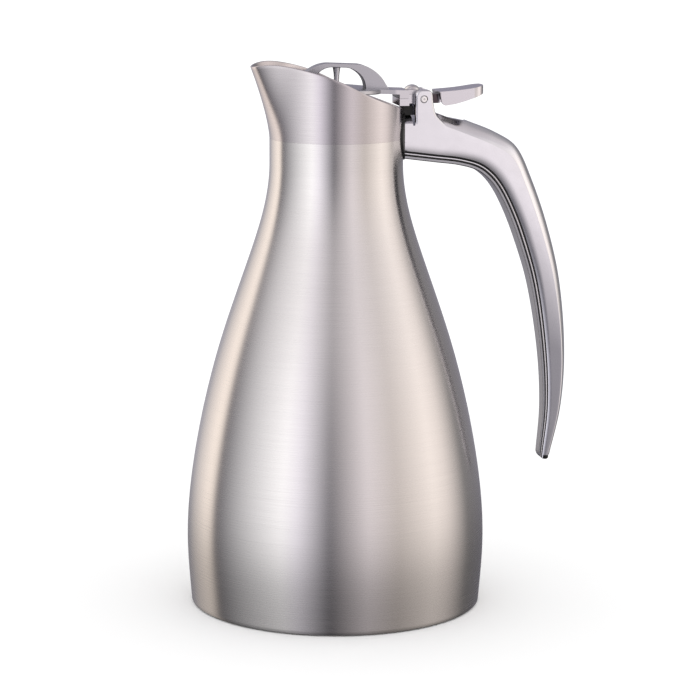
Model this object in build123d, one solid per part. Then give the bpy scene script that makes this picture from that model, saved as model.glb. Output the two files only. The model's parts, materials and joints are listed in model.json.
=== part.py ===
from build123d import *
import math
import os

# Thermal carafe with a lever-operated flip lid.
# Millimetres. Origin: body axis at the plane that the carafe stands on.
# +Z is up, +X points to the handle, -X to the spout. Everything mirrors across the XZ plane.

# ---- body of revolution -----------------------------------------------------------------------
belly_r = 70.0            # widest radius
belly_z = 28.0            # height of the widest place
foot_r = 68.2             # radius at the very bottom
foot_edge_z = 0.6         # the outer shell stops this far above the floor
neck_r = 31.0             # outside of the neck
neck_start_z = 208.0      # the neck is a plain cylinder from here up
seam_z = 219.5            # weld line between the outer shell and the pouring collar
seam_gap = 0.2            # groove left along that weld line
# Shoulder: how much of the way from neck to belly radius is left, at shares of the height between.
shoulder_curve = [(0.890, 0.261), (0.585, 0.539), (0.238, 0.761), (0.051, 0.900)]
shell_wall = 0.8          # outer shell sheet
liner_wall = 0.6          # inner flask sheet
vacuum_gap = 5.0          # evacuated space between the two walls, measured level
fit_gap = 0.05            # clearance between pieces that are welded, pressed or screwed together
beyond = 200.0            # longer than any piece: for shapes that cut right through
mouth_land = 5.75         # width of the sealing land round the mouth
mouth_drop = 3.9          # how far the land lies below the seam
mouth_ring_h = 2.6
mouth_ring_z = seam_z - mouth_drop
mouth_bore_r = neck_r - shell_wall - fit_gap - mouth_land

# ---- bottom -----------------------------------------------------------------------------------
foot_ring_w = 6.0         # width of the flat ring that stands on the floor
foot_recess = 5.0         # height of the recessed middle of the bottom
bottom_flange_h = 9.0     # upright edge of the bottom, inside the shell
bottom_wall = 0.9
tip_off_r = 7.0           # cover over the sealed evacuation hole
getter_r = 9.0
getter_h = 2.5
getter_x = 30.0
flask_bottom_rise = 6.1   # height of the dished bottom that is welded into the inner flask
flask_dish = [(0.0, 3.0), (38.0, 0.8), (56.0, 6.0)]    # that bottom: radius, height over its lowest level
flask_neck_run = 14.0     # the flask's neck is straight from this far below the body's neck

# ---- pouring collar ---------------------------------------------------------------------------
collar_wall = 1.0
skirt_wall = 0.65         # spigot of the collar inside the neck
skirt_up = 0.7            # it ends this far above the seam
rim_edge_r = 0.35         # rounding of the mouth's edge
spout_reach = 9.2         # how far the spout tip stands out past the neck
spout_rise = 33.4         # height above the seam at which it reaches that far
spout_flare = 1.38        # exponent: the spout leaves the neck gently, then leans out
spout_spread = 24.0       # degrees either side of the spout over which the lip blends in
# Sloping mouth seen from the side: x in neck radii, height above the seam.
rim_line = [(-1.355, 32.8), (-1.161, 34.4), (-0.968, 34.7), (-0.645, 33.1), (-0.323, 30.4),
            (0.0, 26.4), (0.323, 21.4), (0.645, 17.5), (1.097, 12.4)]

# ---- handle -----------------------------------------------------------------------------------
handle_half_w = 8.5       # half width of the head of the handle, its ears and the lid's knuckle
pad_t = 0.8               # rubber saddle between the neck and the handle
pad_half_w = 14.0
pad_half_h = 11.3
pad_middle_z = seam_z + 0.6
head_top_z = seam_z + 10.3     # flat top of the handle's head, in front of and between the ears
buffer_h = 4.35           # rubber upstand over the head's top, on which the closed lid rests
buffer_half_w = 4.6
strip_proud = 1.4         # how far the inlaid strip stands out of the handle
strip_deep = 1.8          # how deep it sits in its groove
strip_gap = 0.25          # shadow gap either side of it
strip_end = 4.5           # the strip stops this far above the handle's lowest point
lip_w = 0.9               # flat lip of the casting beside the strip
casting_wall = 3.0        # spine thickness left behind the hollow
edge_r = 0.8              # rounding that belt grinding leaves on the castings' outer edges
small_edge_r = 0.5
# Each station: point on the grip side, point on the outer side (both as distance out from the neck
# face and height over the seam), half width, height of the crowned spine, inner corner radius.
head_stations = [
    ((-1.0, -9.6), (-0.5, 10.2), handle_half_w, 3.4, 2.0),
    ((14.5, -11.6), (16.5, 12.6), handle_half_w, 6.2, 2.0),
]
grip_stations = [
    head_stations[1],
    ((26.3, -13.2), (31.1, 7.0), handle_half_w, 6.0, 2.0),
    ((35.5, -16.2), (44.1, 1.7), handle_half_w, 6.0, 2.0),
    ((42.4, -22.3), (54.4, -5.1), 8.45, 5.6, 2.0),
    ((48.5, -32.5), (61.6, -19.2), 8.25, 5.4, 2.0),
    ((55.2, -48.9), (69.9, -42.1), 7.9, 4.7, 2.0),
    ((62.0, -71.3), (76.4, -68.5), 7.4, 3.8, 1.9),
    ((67.2, -102.5), (79.6, -101.7), 6.7, 2.6, 1.8),
    ((68.9, -129.5), (78.3, -129.5), 5.9, 2.0, 1.6),
    ((67.2, -154.2), (72.6, -155.6), 4.8, 1.4, 1.3),
]
hollow_stations = grip_stations[2:-1]   # the casting is hollow behind the strip along these
grip_count = 30           # evenly spread sections that the grip is drawn through
tip_plug_r = 1.1
tip_plug_l = 3.4

# ---- hinge ------------------------------------------------------------------------------------
pin_out = 8.6             # pin axis, out from the neck face
pin_up = 7.6              # pin axis, above the head's top
pin_x, pin_z = neck_r + pin_out, head_top_z + pin_up
pin_r = 1.6
pin_clearance = 0.05      # running fit of the lever on the pin
ear_front = 4.1           # ears, measured from the pin axis
ear_back = 4.6
ear_top = 4.3
ear_corner_r = 3.2
ear_front_x, ear_back_x = pin_x - ear_front, pin_x + ear_back
ear_gap = 4.3             # half the gap between the ears
notch_w = 1.0             # saw cut in front of the ears
notch_depth = 4.5
slot_run = 21.0           # the slot behind the ears runs out of the spine this far behind the pin
slot_fall = 3.2
side_clearance = 0.3      # between the lever's tongue and each ear
lug_w, lug_out = 7.0, 12.0    # tongue welded to the neck, inside the head
lug_low_z, lug_high_z = seam_z - 5.6, seam_z + 2.0
lug_clearance = 0.3
set_screw_out = 8.0       # its axis, out from the neck face
set_screw_r = 2.0
set_screw_head_r = 3.6
set_screw_head_h = 3.0

# ---- lid --------------------------------------------------------------------------------------
lid_slope = 2.5           # degrees: the top of the lid leans down towards the hinge
plate_r = 21.0
plate_t = 2.0
strap_over_pin = 3.87     # top of the strap above the pin axis
lid_top_z = pin_z + strap_over_pin + pin_x * math.tan(math.radians(lid_slope))
arch_half_w = 3.4
arch_top = 10.9           # height of the arch over the plate
arch_foot = 1.0           # its front foot, in from the plate's edge
arch_outer = [(arch_foot - plate_r, -0.5), (-17.6, 3.8), (-13.4, 7.7), (-8.8, 10.1), (-4.0, arch_top)]
arch_outer_back = [(9.0, arch_top), (13.0, 10.1), (17.5, 7.7), (21.2, 4.2), (24.6, -0.5)]
window_top = 9.1
arch_window = [(-12.4, -0.5), (-11.0, 3.8), (-8.6, 6.8), (-5.6, 8.6), (-1.5, window_top)]
arch_window_back = [(3.5, window_top), (7.2, 8.1), (10.4, 5.9), (12.5, 2.6), (13.1, -0.5)]
knuckle_front_x = pin_x - 11.5     # cross block in front of the ears
knuckle_back_x = ear_front_x - 2.9
rest_gap = 0.35           # between the closed knuckle and its rubber buffer
buffer_top_z = head_top_z + buffer_h
knuckle_low_z = buffer_top_z + rest_gap
knuckle_split_z = pin_z + 0.4      # lid above, lever below
strap_end_x = ear_front_x + 2.4
split_gap = 0.1
lever_screw_x = ear_front_x + 0.2
lever_screw_r = 1.5
lever_screw_head_r = 3.8
lever_screw_head_h = 2.3
tongue_r = 4.0            # round end of the tongue about the pin
tongue_drop = 2.2         # underside of the tongue below the pin axis
# Thumb rest in side view, measured from the pin axis.
paddle_front, paddle_end = 7.3, 29.2
paddle_top = [(paddle_front, 3.4), (14.4, 3.9), (22.4, 4.8), (paddle_end, 6.0)]
paddle_under = [(paddle_end, 2.2), (26.4, 1.2), (20.4, -0.8), (14.4, -2.4), (9.0, -3.1)]
paddle_corner_r = 6.0     # plan radius of the thumb rest's corners
paddle_wall = 1.4
paddle_throat = 0.4       # its front wall stops this far below the pin axis, to clear the handle

# ---- stopper ----------------------------------------------------------------------------------
post_r = 1.3             # slim post seen under the arch
post_flare_r = 1.75
post_flare_h = 6.0        # the flare starts this far below the arch
stud_r = 2.0              # thicker threaded end below the plate
stem_r = 4.5
seal_gap = 0.3            # rest gap under the gasket
swing_room = 3.2          # ring gap round the stopper, which it needs to swing out past the collar
gasket_t = 1.7
cup_wall = 0.6
cup_depth = 12.6          # below the sealing land
cup_bottom_r = 17.0
cup_corner = 1.6
cover_h = 6.0
nut_r = 4.2
nut_h = 5.0
cup_side_r = mouth_bore_r - 0.1
gasket_in_r = cup_side_r + 0.1
gasket_out_r = neck_r - collar_wall - swing_room
cover_r = gasket_out_r + 0.4
cup_bottom_z = mouth_ring_z - cup_depth
gasket_z = mouth_ring_z + seal_gap
cover_low_z = gasket_z + gasket_t + cup_wall + 2 * fit_gap
cover_top_z = cover_low_z + cover_h


# ---- helpers ----------------------------------------------------------------------------------
def turned(outline):
    """Turn a closed (radius, height) outline about the body axis."""
    return revolve(Plane.XZ * outline, Axis.Z)


def pressing(path, wall):
    """Sheet of even wall whose one side follows a (radius, height) path, turned about the axis."""
    return turned(make_face(offset(path, amount=wall, side=Side.RIGHT, kind=Kind.INTERSECTION)))


def washer(r_in, r_out, z_low, z_high):
    outline = Polyline((r_in, z_low), (r_out, z_low), (r_out, z_high), (r_in, z_high), close=True)
    return turned(make_face(outline))


def side_plate(outline, half_w):
    """Extrude an outline drawn in side view, equally to both sides of the XZ plane."""
    return extrude(Plane.XZ * outline, amount=half_w, both=True)


def block(x, y, z):
    """Box from three (low, high) pairs."""
    size = [high - low for low, high in (x, y, z)]
    middle = [(high + low) / 2 for low, high in (x, y, z)]
    return Pos(*middle) * Box(*size)


def upright(r, x, z_low, z_high):
    return Pos(x, 0, (z_low + z_high) / 2) * Cylinder(r, z_high - z_low)


def crossways(r, half_length):
    """Cylinder along Y about the hinge axis."""
    return Pos(pin_x, 0, pin_z) * Rot(90, 0, 0) * Cylinder(r, 2 * half_length)


def outer_edges(part, half_w):
    """Edges of a side plate that lie on its two flat sides."""
    return part.edges().filter_by(lambda e: abs(abs(e.center().Y) - half_w) < 0.001)


def lean(part):
    """Tip a lid piece, drawn level, down towards the hinge."""
    pivot = Axis((0, 0, lid_top_z), (0, 1, 0))
    return part.rotate(pivot, lid_slope)


# ---- flask ------------------------------------------------------------------------------------
def shoulder(inset, count):
    """First few points of the shoulder between belly and neck, moved in level by inset."""
    rise = neck_start_z - belly_z
    drop = belly_r - neck_r
    return [(neck_r + drop * left - inset, belly_z + rise * up) for left, up in shoulder_curve[:count]]


def body_path(inset, z_low, z_high):
    """Side of the body, moved in level by inset, as a path from z_low up to z_high."""
    foot = (foot_r - inset, z_low)
    belly = (belly_r - inset, belly_z)
    neck = (neck_r - inset, neck_start_z)
    side = Spline(foot, belly, *shoulder(inset, 4), neck, tangents=[(0.08, 1), (0, 1)])
    return side + Line(neck, (neck_r - inset, z_high))


def outer_shell():
    top = seam_z - seam_gap / 2
    outside = body_path(0, foot_edge_z, top)
    inside = body_path(shell_wall, foot_edge_z, top)
    edges = [
        Line((neck_r, top), (neck_r - shell_wall, top)),
        Line((foot_r - shell_wall, foot_edge_z), (foot_r, foot_edge_z)),
    ]
    return turned(make_face(outside.edges() + inside.edges() + edges))


def liner_path(inset):
    """Inner flask: domed bottom, the same shoulder as the body, and a straight neck."""
    low_z = foot_recess + bottom_wall + vacuum_gap + inset
    wide = shell_wall + vacuum_gap + inset
    corner = (belly_r - wide, belly_z + vacuum_gap)
    bore = mouth_bore_r + liner_wall - inset
    neck = (bore, neck_start_z - flask_neck_run)
    dish = [(r, low_z + rise) for r, rise in flask_dish]
    dome = Spline(*dish, corner, tangents=[(1, 0), (0, 1)])
    side = Spline(corner, *shoulder(wide, 3), neck, tangents=[(0, 1), (0, 1)])
    return dome + side + Line(neck, (bore, mouth_ring_z - mouth_ring_h - fit_gap))


def flask_sheet():
    outside, inside = liner_path(0), liner_path(liner_wall)
    start, end = outside @ 0, outside @ 1
    edges = [Line(start, inside @ 0), Line(end, inside @ 1)]
    return turned(make_face(outside.edges() + inside.edges() + edges))


def flask_bottom_zone(gap):
    """Everything below the weld between the inner flask's wall and its dished bottom."""
    weld_z = foot_recess + bottom_wall + vacuum_gap + flask_bottom_rise
    return upright(belly_r, 0, 0, weld_z - gap)


def inner_liner():
    return flask_sheet() - flask_bottom_zone(0)


def flask_bottom():
    return flask_sheet() & flask_bottom_zone(fit_gap)


def mouth_ring():
    """Turned ring that closes the vacuum space and carries the lid's seal."""
    out_r = neck_r - shell_wall - fit_gap
    low = mouth_ring_z - mouth_ring_h
    ring = washer(mouth_bore_r, out_r, low, mouth_ring_z)
    inner_edge = ring.edges().filter_by(GeomType.CIRCLE).group_by(Axis.Z)[-1].sort_by(SortBy.RADIUS)[0]
    return fillet(inner_edge, 0.5)


def base_plate():
    """Pressed bottom: upright flange, flat foot ring and recessed middle."""
    flange_r = foot_r - shell_wall - fit_gap
    foot_out = flange_r - 1.8
    foot_in = foot_out - foot_ring_w
    middle_r = foot_in - 4.0
    path = Polyline((tip_off_r * 0.35, foot_recess), (middle_r, foot_recess), (foot_in, 0),
                    (foot_out, 0), (flange_r, 1.8), (flange_r, bottom_flange_h))
    return turned(make_face(offset(path, amount=bottom_wall, side=Side.LEFT, kind=Kind.INTERSECTION)))


def tip_off_cover():
    """Domed cap over the evacuation hole, in the middle of the recess."""
    top = foot_recess - fit_gap
    cap = Polyline((0, top), (tip_off_r, top), (tip_off_r, top - 0.9), (tip_off_r * 0.6, top - 1.8),
                   (0, top - 2.1), close=True)
    return turned(make_face(cap))


def getter():
    """Gas-absorbing pellet, spot-welded to the top side of the bottom."""
    low = foot_recess + bottom_wall + fit_gap
    return upright(getter_r, getter_x, low, low + getter_h)


# ---- pouring collar ---------------------------------------------------------------------------
def collar_outline(z, inset):
    """Level section of the collar: the neck circle with a lip drawn out towards -X."""
    rise = max(z - seam_z, 0) / spout_rise
    reach = spout_reach * rise ** spout_flare
    count = 36
    points = []
    for i in range(count):
        turn = 360 * i / count
        off_spout = min(abs(turn - 180), 360 - abs(turn - 180))
        r = neck_r - inset + reach * math.exp(-((off_spout / spout_spread) ** 2))
        points.append((r * math.cos(math.radians(turn)), r * math.sin(math.radians(turn)), z))
    return make_face(Spline(*points, periodic=True))


def collar_form(inset):
    low = seam_z + seam_gap / 2
    high = seam_z + max(up for x, up in rim_line) + 3.0
    levels = [low + (high - low) * share for share in (0, 0.3, 0.6, 1.0)]
    return loft([collar_outline(z, inset) for z in levels])


def above_rim():
    """Everything over the sloping mouth."""
    line = [(x * neck_r, seam_z + up) for x, up in rim_line]
    mouth = Spline(*line)
    (front_x, front_z), (back_x, back_z) = line[0], line[-1]
    over = Polyline((back_x, back_z), (beyond, back_z), (beyond, seam_z + beyond),
                    (-beyond, seam_z + beyond), (-beyond, front_z), (front_x, front_z))
    return side_plate(make_face([mouth] + over.edges()), beyond)


def pouring_collar():
    wall = collar_form(0) - collar_form(collar_wall) - above_rim()
    rim = wall.edges().filter_by(lambda e: e.length > neck_r and e.center().Z > seam_z + spout_rise / 2)
    wall = fillet(rim, rim_edge_r)
    skirt_r = neck_r - shell_wall - fit_gap
    skirt = washer(skirt_r - skirt_wall, skirt_r, mouth_ring_z + fit_gap, seam_z + skirt_up)
    return wall + skirt


# ---- handle -----------------------------------------------------------------------------------
def station_points(station):
    """The two points of a station in the side view."""
    (xi, zi), (xo, zo) = station[0], station[1]
    return (neck_r + xi, seam_z + zi), (neck_r + xo, seam_z + zo)


def station_plane(station):
    """Plane across the handle at a station: local X runs from the grip side outwards, local Y is Y."""
    (xi, zi), (xo, zo) = station_points(station)
    return Plane(origin=(xi, 0, zi), x_dir=(xo - xi, 0, zo - zi), z_dir=(zi - zo, 0, xo - xi))


def thickness(station):
    return math.dist(station[0], station[1])


def eased(stations, count):
    """Stations spread evenly along the handle, every value eased from one given station to the next."""
    rows = [(*inner, *outer, *rest) for inner, outer, *rest in stations]
    middles = [((r[0] + r[2]) / 2, (r[1] + r[3]) / 2) for r in rows]
    along = [0.0]
    for a, b in zip(middles, middles[1:]):
        along.append(along[-1] + math.dist(a, b))
    last = len(rows) - 1
    slopes = []
    for i in range(last + 1):
        before, after = max(i - 1, 0), min(i + 1, last)
        run = along[after] - along[before]
        slopes.append([(q - p) / run for p, q in zip(rows[before], rows[after])])
    result = []
    for k in range(count):
        place = along[-1] * k / (count - 1)
        i = min(sum(1 for a in along[1:] if a < place), last - 1)
        run = along[i + 1] - along[i]
        t = (place - along[i]) / run
        weights = (2 * t**3 - 3 * t**2 + 1, (t**3 - 2 * t**2 + t) * run,
                   3 * t**2 - 2 * t**3, (t**3 - t**2) * run)
        row = [sum(w * v for w, v in zip(weights, four))
               for four in zip(rows[i], slopes[i], rows[i + 1], slopes[i + 1])]
        result.append(((row[0], row[1]), (row[2], row[3]), *row[4:]))
    return result


def bar_section(station, low, high, half_w, r_low, r_high):
    """Section from low to high in local X, with its own corner radius at each end."""
    corners = [(low, -half_w), (high, -half_w), (high, half_w), (low, half_w)]
    outline = FilletPolyline(*corners, radius=[r_low, r_high, r_high, r_low], close=True)
    return station_plane(station) * make_face(outline)


def casting_section(station):
    """Section of the casting: rounded towards the fingers, flat sides and a crowned spine."""
    half_w, crown, r_in = station[2:]
    low, high = strip_proud, thickness(station)
    side = high - crown
    sides = FilletPolyline((side, half_w), (low, half_w), (low, -half_w), (side, -half_w), radius=r_in)
    spine = ThreePointArc((side, -half_w), (high, 0), (side, half_w))
    return station_plane(station) * make_face(sides.edges() + [spine])


def strip_half_w(station):
    return station[2] - station[4] - lip_w - strip_gap


def groove_section(station, depth):
    half_w = strip_half_w(station) + strip_gap
    return bar_section(station, strip_proud - 1.0, depth, half_w, 0, 0)


def strip_section(station):
    deep = strip_proud + strip_deep - strip_gap / 2
    return bar_section(station, 0, deep, strip_half_w(station), 1.2, 0.2)


def below_strip_end(gap):
    """Block under the lower end of the strip."""
    (xi, zi), (xo, zo) = station_points(grip_stations[-1])
    top = zo + strip_end - gap
    return block((xi - beyond, xo + beyond), (-beyond, beyond), (top - beyond, top))


def ears():
    """Two side lugs of the clevis, with a splayed root behind."""
    root_z = head_top_z - 5.2
    outline = [
        (-ear_front, -10.4), (-ear_front, ear_top), (ear_back - 0.4, ear_top), (ear_back, -2.0),
        (ear_back + 1.0, -7.0), (ear_back + 6.4, -12.8), (ear_back + 6.4, -15.4), (-ear_front, -15.4),
    ]
    plate = make_face(Polyline(*outline, close=True))
    for corner, r in ((1, ear_corner_r), (2, ear_corner_r - 0.4), (4, 6.0)):
        near = plate.vertices().sort_by_distance(outline[corner])[0]
        plate = fillet(near, r)
    lugs = side_plate(Pos(pin_x, pin_z) * plate, handle_half_w)
    return fillet(outer_edges(lugs, handle_half_w).filter_by(lambda e: e.center().Z > head_top_z - 1.0), edge_r)


def clevis_slot():
    """Gap between the ears, running on behind them until it comes out of the spine."""
    front, back = ear_front_x - beyond, pin_x + slot_run
    outline = [(front, head_top_z), (ear_back_x, head_top_z), (back, head_top_z - slot_fall),
               (back, head_top_z + beyond), (front, head_top_z + beyond)]
    return side_plate(make_face(Polyline(*outline, close=True)), ear_gap)


def lug_room():
    room = lug_clearance
    return block((neck_r - 10, neck_r + lug_out + room), (-lug_w / 2 - room, lug_w / 2 + room),
                 (lug_low_z - room, lug_high_z + room))


def inside_saddle(gap):
    """Solid core as wide as the neck with its rubber pad."""
    return upright(neck_r + pad_t + gap, 0, seam_z - beyond, seam_z + beyond)


def handle():
    groove_depth = strip_proud + strip_deep
    grip = eased(grip_stations, grip_count)
    casting = loft([casting_section(s) for s in head_stations], ruled=True)
    casting += loft([casting_section(s) for s in grip])
    casting += ears()
    groove = loft([groove_section(s, groove_depth) for s in head_stations], ruled=True)
    groove += loft([groove_section(s, groove_depth) for s in grip])
    casting -= groove - below_strip_end(strip_gap)
    deep = eased(hollow_stations, grip_count)
    casting -= loft([groove_section(s, thickness(s) - casting_wall) for s in deep])
    casting -= inside_saddle(fit_gap)
    notch_x = ear_front_x - notch_w
    casting -= block((0, notch_x), (-beyond, beyond), (head_top_z, head_top_z + beyond))
    casting -= block((notch_x, ear_front_x), (-beyond, beyond),
                     (head_top_z - notch_depth, head_top_z + beyond))
    casting -= clevis_slot()
    casting -= crossways(pin_r + fit_gap / 2, beyond)
    casting -= lug_room()
    screw_x = neck_r + set_screw_out
    casting -= upright(set_screw_r + fit_gap, screw_x, lug_high_z, head_top_z + 1)
    casting -= upright(set_screw_head_r + fit_gap, screw_x, head_top_z - set_screw_head_h, head_top_z + 1)
    return casting - tip_bore(tip_plug_r + fit_gap, tip_plug_l)


def tip_bore(r, deep):
    """Upright cylinder in the lowest end of the handle."""
    (xi, zi), (xo, zo) = station_points(grip_stations[-1])
    middle = (xi + xo + strip_proud) / 2
    return upright(r, middle, zo - 0.4, zo + deep)


def handle_tip_plug():
    return tip_bore(tip_plug_r, tip_plug_l - fit_gap)


def handle_strip():
    """Smooth inlay along the inside of the handle, over the hollow."""
    front = loft([strip_section(s) for s in head_stations], ruled=True)
    front -= inside_saddle(2 * fit_gap)
    back = loft([strip_section(s) for s in eased(grip_stations, grip_count)])
    return front + (back - below_strip_end(0))


def handle_pad():
    """Rubber saddle that seats the handle on the neck, with an upstand that buffers the lid."""
    outline = Pos(0, pad_middle_z) * Ellipse(pad_half_w, pad_half_h)
    footprint = extrude(Plane.YZ * outline, amount=2 * neck_r)
    low, high = pad_middle_z - 2 * pad_half_h, buffer_top_z
    pad = footprint & washer(neck_r + fit_gap / 2, neck_r + pad_t, low, high)
    pad += block((neck_r - 6, ear_front_x - side_clearance), (-buffer_half_w, buffer_half_w),
                 (head_top_z + fit_gap, buffer_top_z))
    pad -= upright(neck_r + fit_gap / 2, 0, low - 5, high + 5)
    return pad - lug_room()


def neck_lug():
    """Steel tongue welded to the neck; it enters the head of the handle and takes the set screw."""
    lug = block((neck_r - 4, neck_r + lug_out), (-lug_w / 2, lug_w / 2), (lug_low_z, lug_high_z))
    lug -= upright(neck_r + fit_gap / 2, 0, lug_low_z - 5, lug_high_z + 5)
    return lug - upright(set_screw_r + fit_gap, neck_r + set_screw_out, lug_low_z - 5, lug_high_z + 5)


def set_screw():
    x = neck_r + set_screw_out
    shank = upright(set_screw_r, x, lug_low_z + 1.0, head_top_z - 1.0)
    head_low = head_top_z - set_screw_head_h
    head = upright(set_screw_head_r, x, head_low + fit_gap, head_top_z - 0.3)
    socket = Pos(x, 0, head_top_z) * extrude(RegularPolygon(1.5, 6), amount=-2.2)
    return shank + head - socket


def hinge_pin():
    pin = crossways(pin_r, handle_half_w - 0.1)
    ends = pin.edges().filter_by(GeomType.CIRCLE)
    return chamfer(ends, 0.3)


# ---- lid --------------------------------------------------------------------------------------
def arch_face():
    outer = Spline(*arch_outer, tangents=[(0.25, 1), (1, 0)])
    outer_back = Spline(*arch_outer_back, tangents=[(1, 0), (1, -1)])
    inner = Spline(*arch_window, tangents=[(0.2, 1), (1, 0)])
    inner_back = Spline(*arch_window_back, tangents=[(1, 0), (0.1, -1)])
    bridges = [
        Line(arch_outer[-1], arch_outer_back[0]),
        Line(arch_window[-1], arch_window_back[0]),
        Line(arch_outer[0], arch_window[0]),
        Line(arch_outer_back[-1], arch_window_back[-1]),
    ]
    return make_face([outer, outer_back, inner, inner_back] + bridges)


def under_strap_z(x):
    """Height of the strap's underside."""
    return lid_top_z - plate_t - x * math.tan(math.radians(lid_slope))


def over_line(x_low, x_high, lift):
    """Everything above the strap's underside plus lift, between two distances from the body axis."""
    outline = [(x_low, under_strap_z(x_low) + lift), (x_high, under_strap_z(x_high) + lift),
               (x_high, lid_top_z + beyond), (x_low, lid_top_z + beyond)]
    return side_plate(make_face(Polyline(*outline, close=True)), beyond)


def lid_bridge():
    """One casting: round plate, arch over it, and the strap that runs back to the hinge."""
    arch = side_plate(Pos(0, lid_top_z) * arch_face(), arch_half_w)
    arch = fillet(outer_edges(arch, arch_half_w).filter_by(lambda e: e.center().Z > lid_top_z), edge_r)
    plate = upright(plate_r, 0, lid_top_z - plate_t, lid_top_z)
    plate = fillet(plate.edges().group_by(Axis.Z)[-1], small_edge_r)
    strap = block((0, knuckle_back_x), (-handle_half_w, handle_half_w), (lid_top_z - plate_t, lid_top_z))
    strap = fillet(strap.edges().filter_by(Axis.X).group_by(Axis.Z)[-1], small_edge_r)
    tail_w = ear_gap - side_clearance
    tail = block((knuckle_back_x - 1, strap_end_x), (-tail_w, tail_w), (lid_top_z - plate_t, lid_top_z))
    casting = lean(arch + plate + strap + tail)
    casting += block((knuckle_front_x, knuckle_back_x), (-handle_half_w, handle_half_w),
                     (knuckle_split_z + split_gap / 2, under_strap_z(knuckle_back_x) + 0.5))
    casting -= upright(post_r + fit_gap, 0, lid_top_z - 10, lid_top_z + window_top + 1.0)
    return casting - upright(lever_screw_r + fit_gap, lever_screw_x, pin_z - 10, pin_z + 10)


def crown_edges(rest):
    """Rim of the thumb rest's upper face, but for its front edge and its middle line."""
    upper = rest.faces().filter_by(lambda f: f.normal_at().Z > 0.9).edges()
    return upper.filter_by(lambda e: e.center().X > paddle_front + 0.01
                           and (abs(e.center().Y) > ear_gap or e.center().X > paddle_end - 0.01))


def thumb_rest():
    """Hollow plate behind the ears, rounded at the far end and open underneath."""
    top, under = Spline(*paddle_top), Spline(*paddle_under)
    ends = [Line(paddle_top[-1], paddle_under[0]), Line(paddle_under[-1], paddle_top[0])]
    rest = side_plate(make_face([top, under] + ends), handle_half_w)
    plan = Rectangle(paddle_end - paddle_front, 2 * handle_half_w)
    plan = Pos((paddle_front + paddle_end) / 2, 0) * plan
    tip_corners = plan.vertices().group_by(Axis.X)[-1]
    plan = fillet(tip_corners, paddle_corner_r)
    rest &= extrude(plan, amount=beyond, both=True)
    rest = fillet(crown_edges(rest), edge_r)
    inner_plan = offset(plan, amount=-paddle_wall, kind=Kind.INTERSECTION)
    roof = [(x, z - paddle_wall) for x, z in paddle_top]
    drop = Polyline(roof[-1], (paddle_end, -beyond), (paddle_front, -beyond), roof[0])
    room = side_plate(make_face([Spline(*roof)] + drop.edges()), handle_half_w)
    rest -= room & extrude(inner_plan, amount=beyond, both=True)
    inner_w = handle_half_w - paddle_wall
    rest -= block((0, paddle_front + paddle_wall + 0.1), (-inner_w, inner_w), (-beyond, -paddle_throat))
    return Pos(pin_x, 0, pin_z) * rest


def thumb_lever():
    """Casting on the hinge pin: cross block in front, tongue between the ears, thumb rest behind."""
    tongue_w = ear_gap - side_clearance
    tongue = block((knuckle_back_x - 1, pin_x + paddle_front + 1), (-tongue_w, tongue_w),
                   (pin_z - tongue_drop, pin_z + 2.0))
    tongue += crossways(tongue_r, tongue_w)
    clear = split_gap / 2
    tongue -= over_line(0, strap_end_x + 2 * split_gap, -clear)
    tongue -= over_line(strap_end_x, beyond, plate_t - split_gap)
    tongue -= block((-beyond, knuckle_back_x + split_gap), (-beyond, beyond),
                    (knuckle_split_z - clear, pin_z + beyond))
    knuckle = block((knuckle_front_x, knuckle_back_x), (-handle_half_w, handle_half_w),
                    (knuckle_low_z, knuckle_split_z - clear))
    knuckle = fillet(knuckle.edges().group_by(Axis.Z)[0], small_edge_r)
    lever = thumb_rest() + tongue + knuckle
    lever -= crossways(pin_r + pin_clearance, beyond)
    return lever - upright(lever_screw_r + fit_gap, lever_screw_x, pin_z - tongue_drop + 0.8, pin_z + 10)


def lever_screw():
    """Dome-headed screw that clamps the strap to the lever's tongue."""
    r, rise = lever_screw_head_r, lever_screw_head_h
    ball_r = (r * r + rise * rise) / (2 * rise)
    head = Pos(lever_screw_x, 0, lid_top_z + rise - ball_r) * Sphere(ball_r)
    head &= block((0, beyond), (-beyond, beyond), (lid_top_z + fit_gap, lid_top_z + beyond))
    head = lean(head)
    shank = upright(lever_screw_r, lever_screw_x, pin_z - tongue_drop + 1.2, pin_z + strap_over_pin + 1)
    return head + shank


def centre_post():
    """Slim post under the arch; above it enters the arch, below it is thicker and threaded."""
    arch_z = lid_top_z + window_top - 0.2
    shoulder_z = lid_top_z - plate_t - 1.2
    low_z = cup_bottom_z - nut_h + 1.0
    outline = Polyline((0, arch_z + 0.9), (post_r, arch_z + 0.9), (post_r, arch_z), (post_flare_r, arch_z),
                       (post_r + 0.1, arch_z - post_flare_h * 0.6), (post_r, arch_z - post_flare_h),
                       (post_r, shoulder_z), (stud_r, shoulder_z - 1), (stud_r, low_z), (0, low_z),
                       close=True)
    return turned(make_face(outline))


def stopper_stem():
    """Spacer tube between the lid plate and the stopper."""
    high = lid_top_z - plate_t - stem_r * math.tan(math.radians(lid_slope)) - 2 * fit_gap
    return washer(stud_r + fit_gap, stem_r, cover_top_z + fit_gap, high)


def stopper_cup():
    """Tapered steel cup that hangs in the mouth; the taper lets it swing out about the hinge."""
    flange_z = gasket_z + gasket_t + fit_gap
    path = Polyline((stud_r + fit_gap, cup_bottom_z), (cup_bottom_r, cup_bottom_z),
                    (cup_bottom_r + cup_corner, cup_bottom_z + cup_corner), (cup_side_r, mouth_ring_z + 1.2),
                    (cup_side_r, flange_z), (gasket_out_r, flange_z))
    return turned(make_face(offset(path, amount=cup_wall, side=Side.LEFT, kind=Kind.INTERSECTION)))


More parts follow.
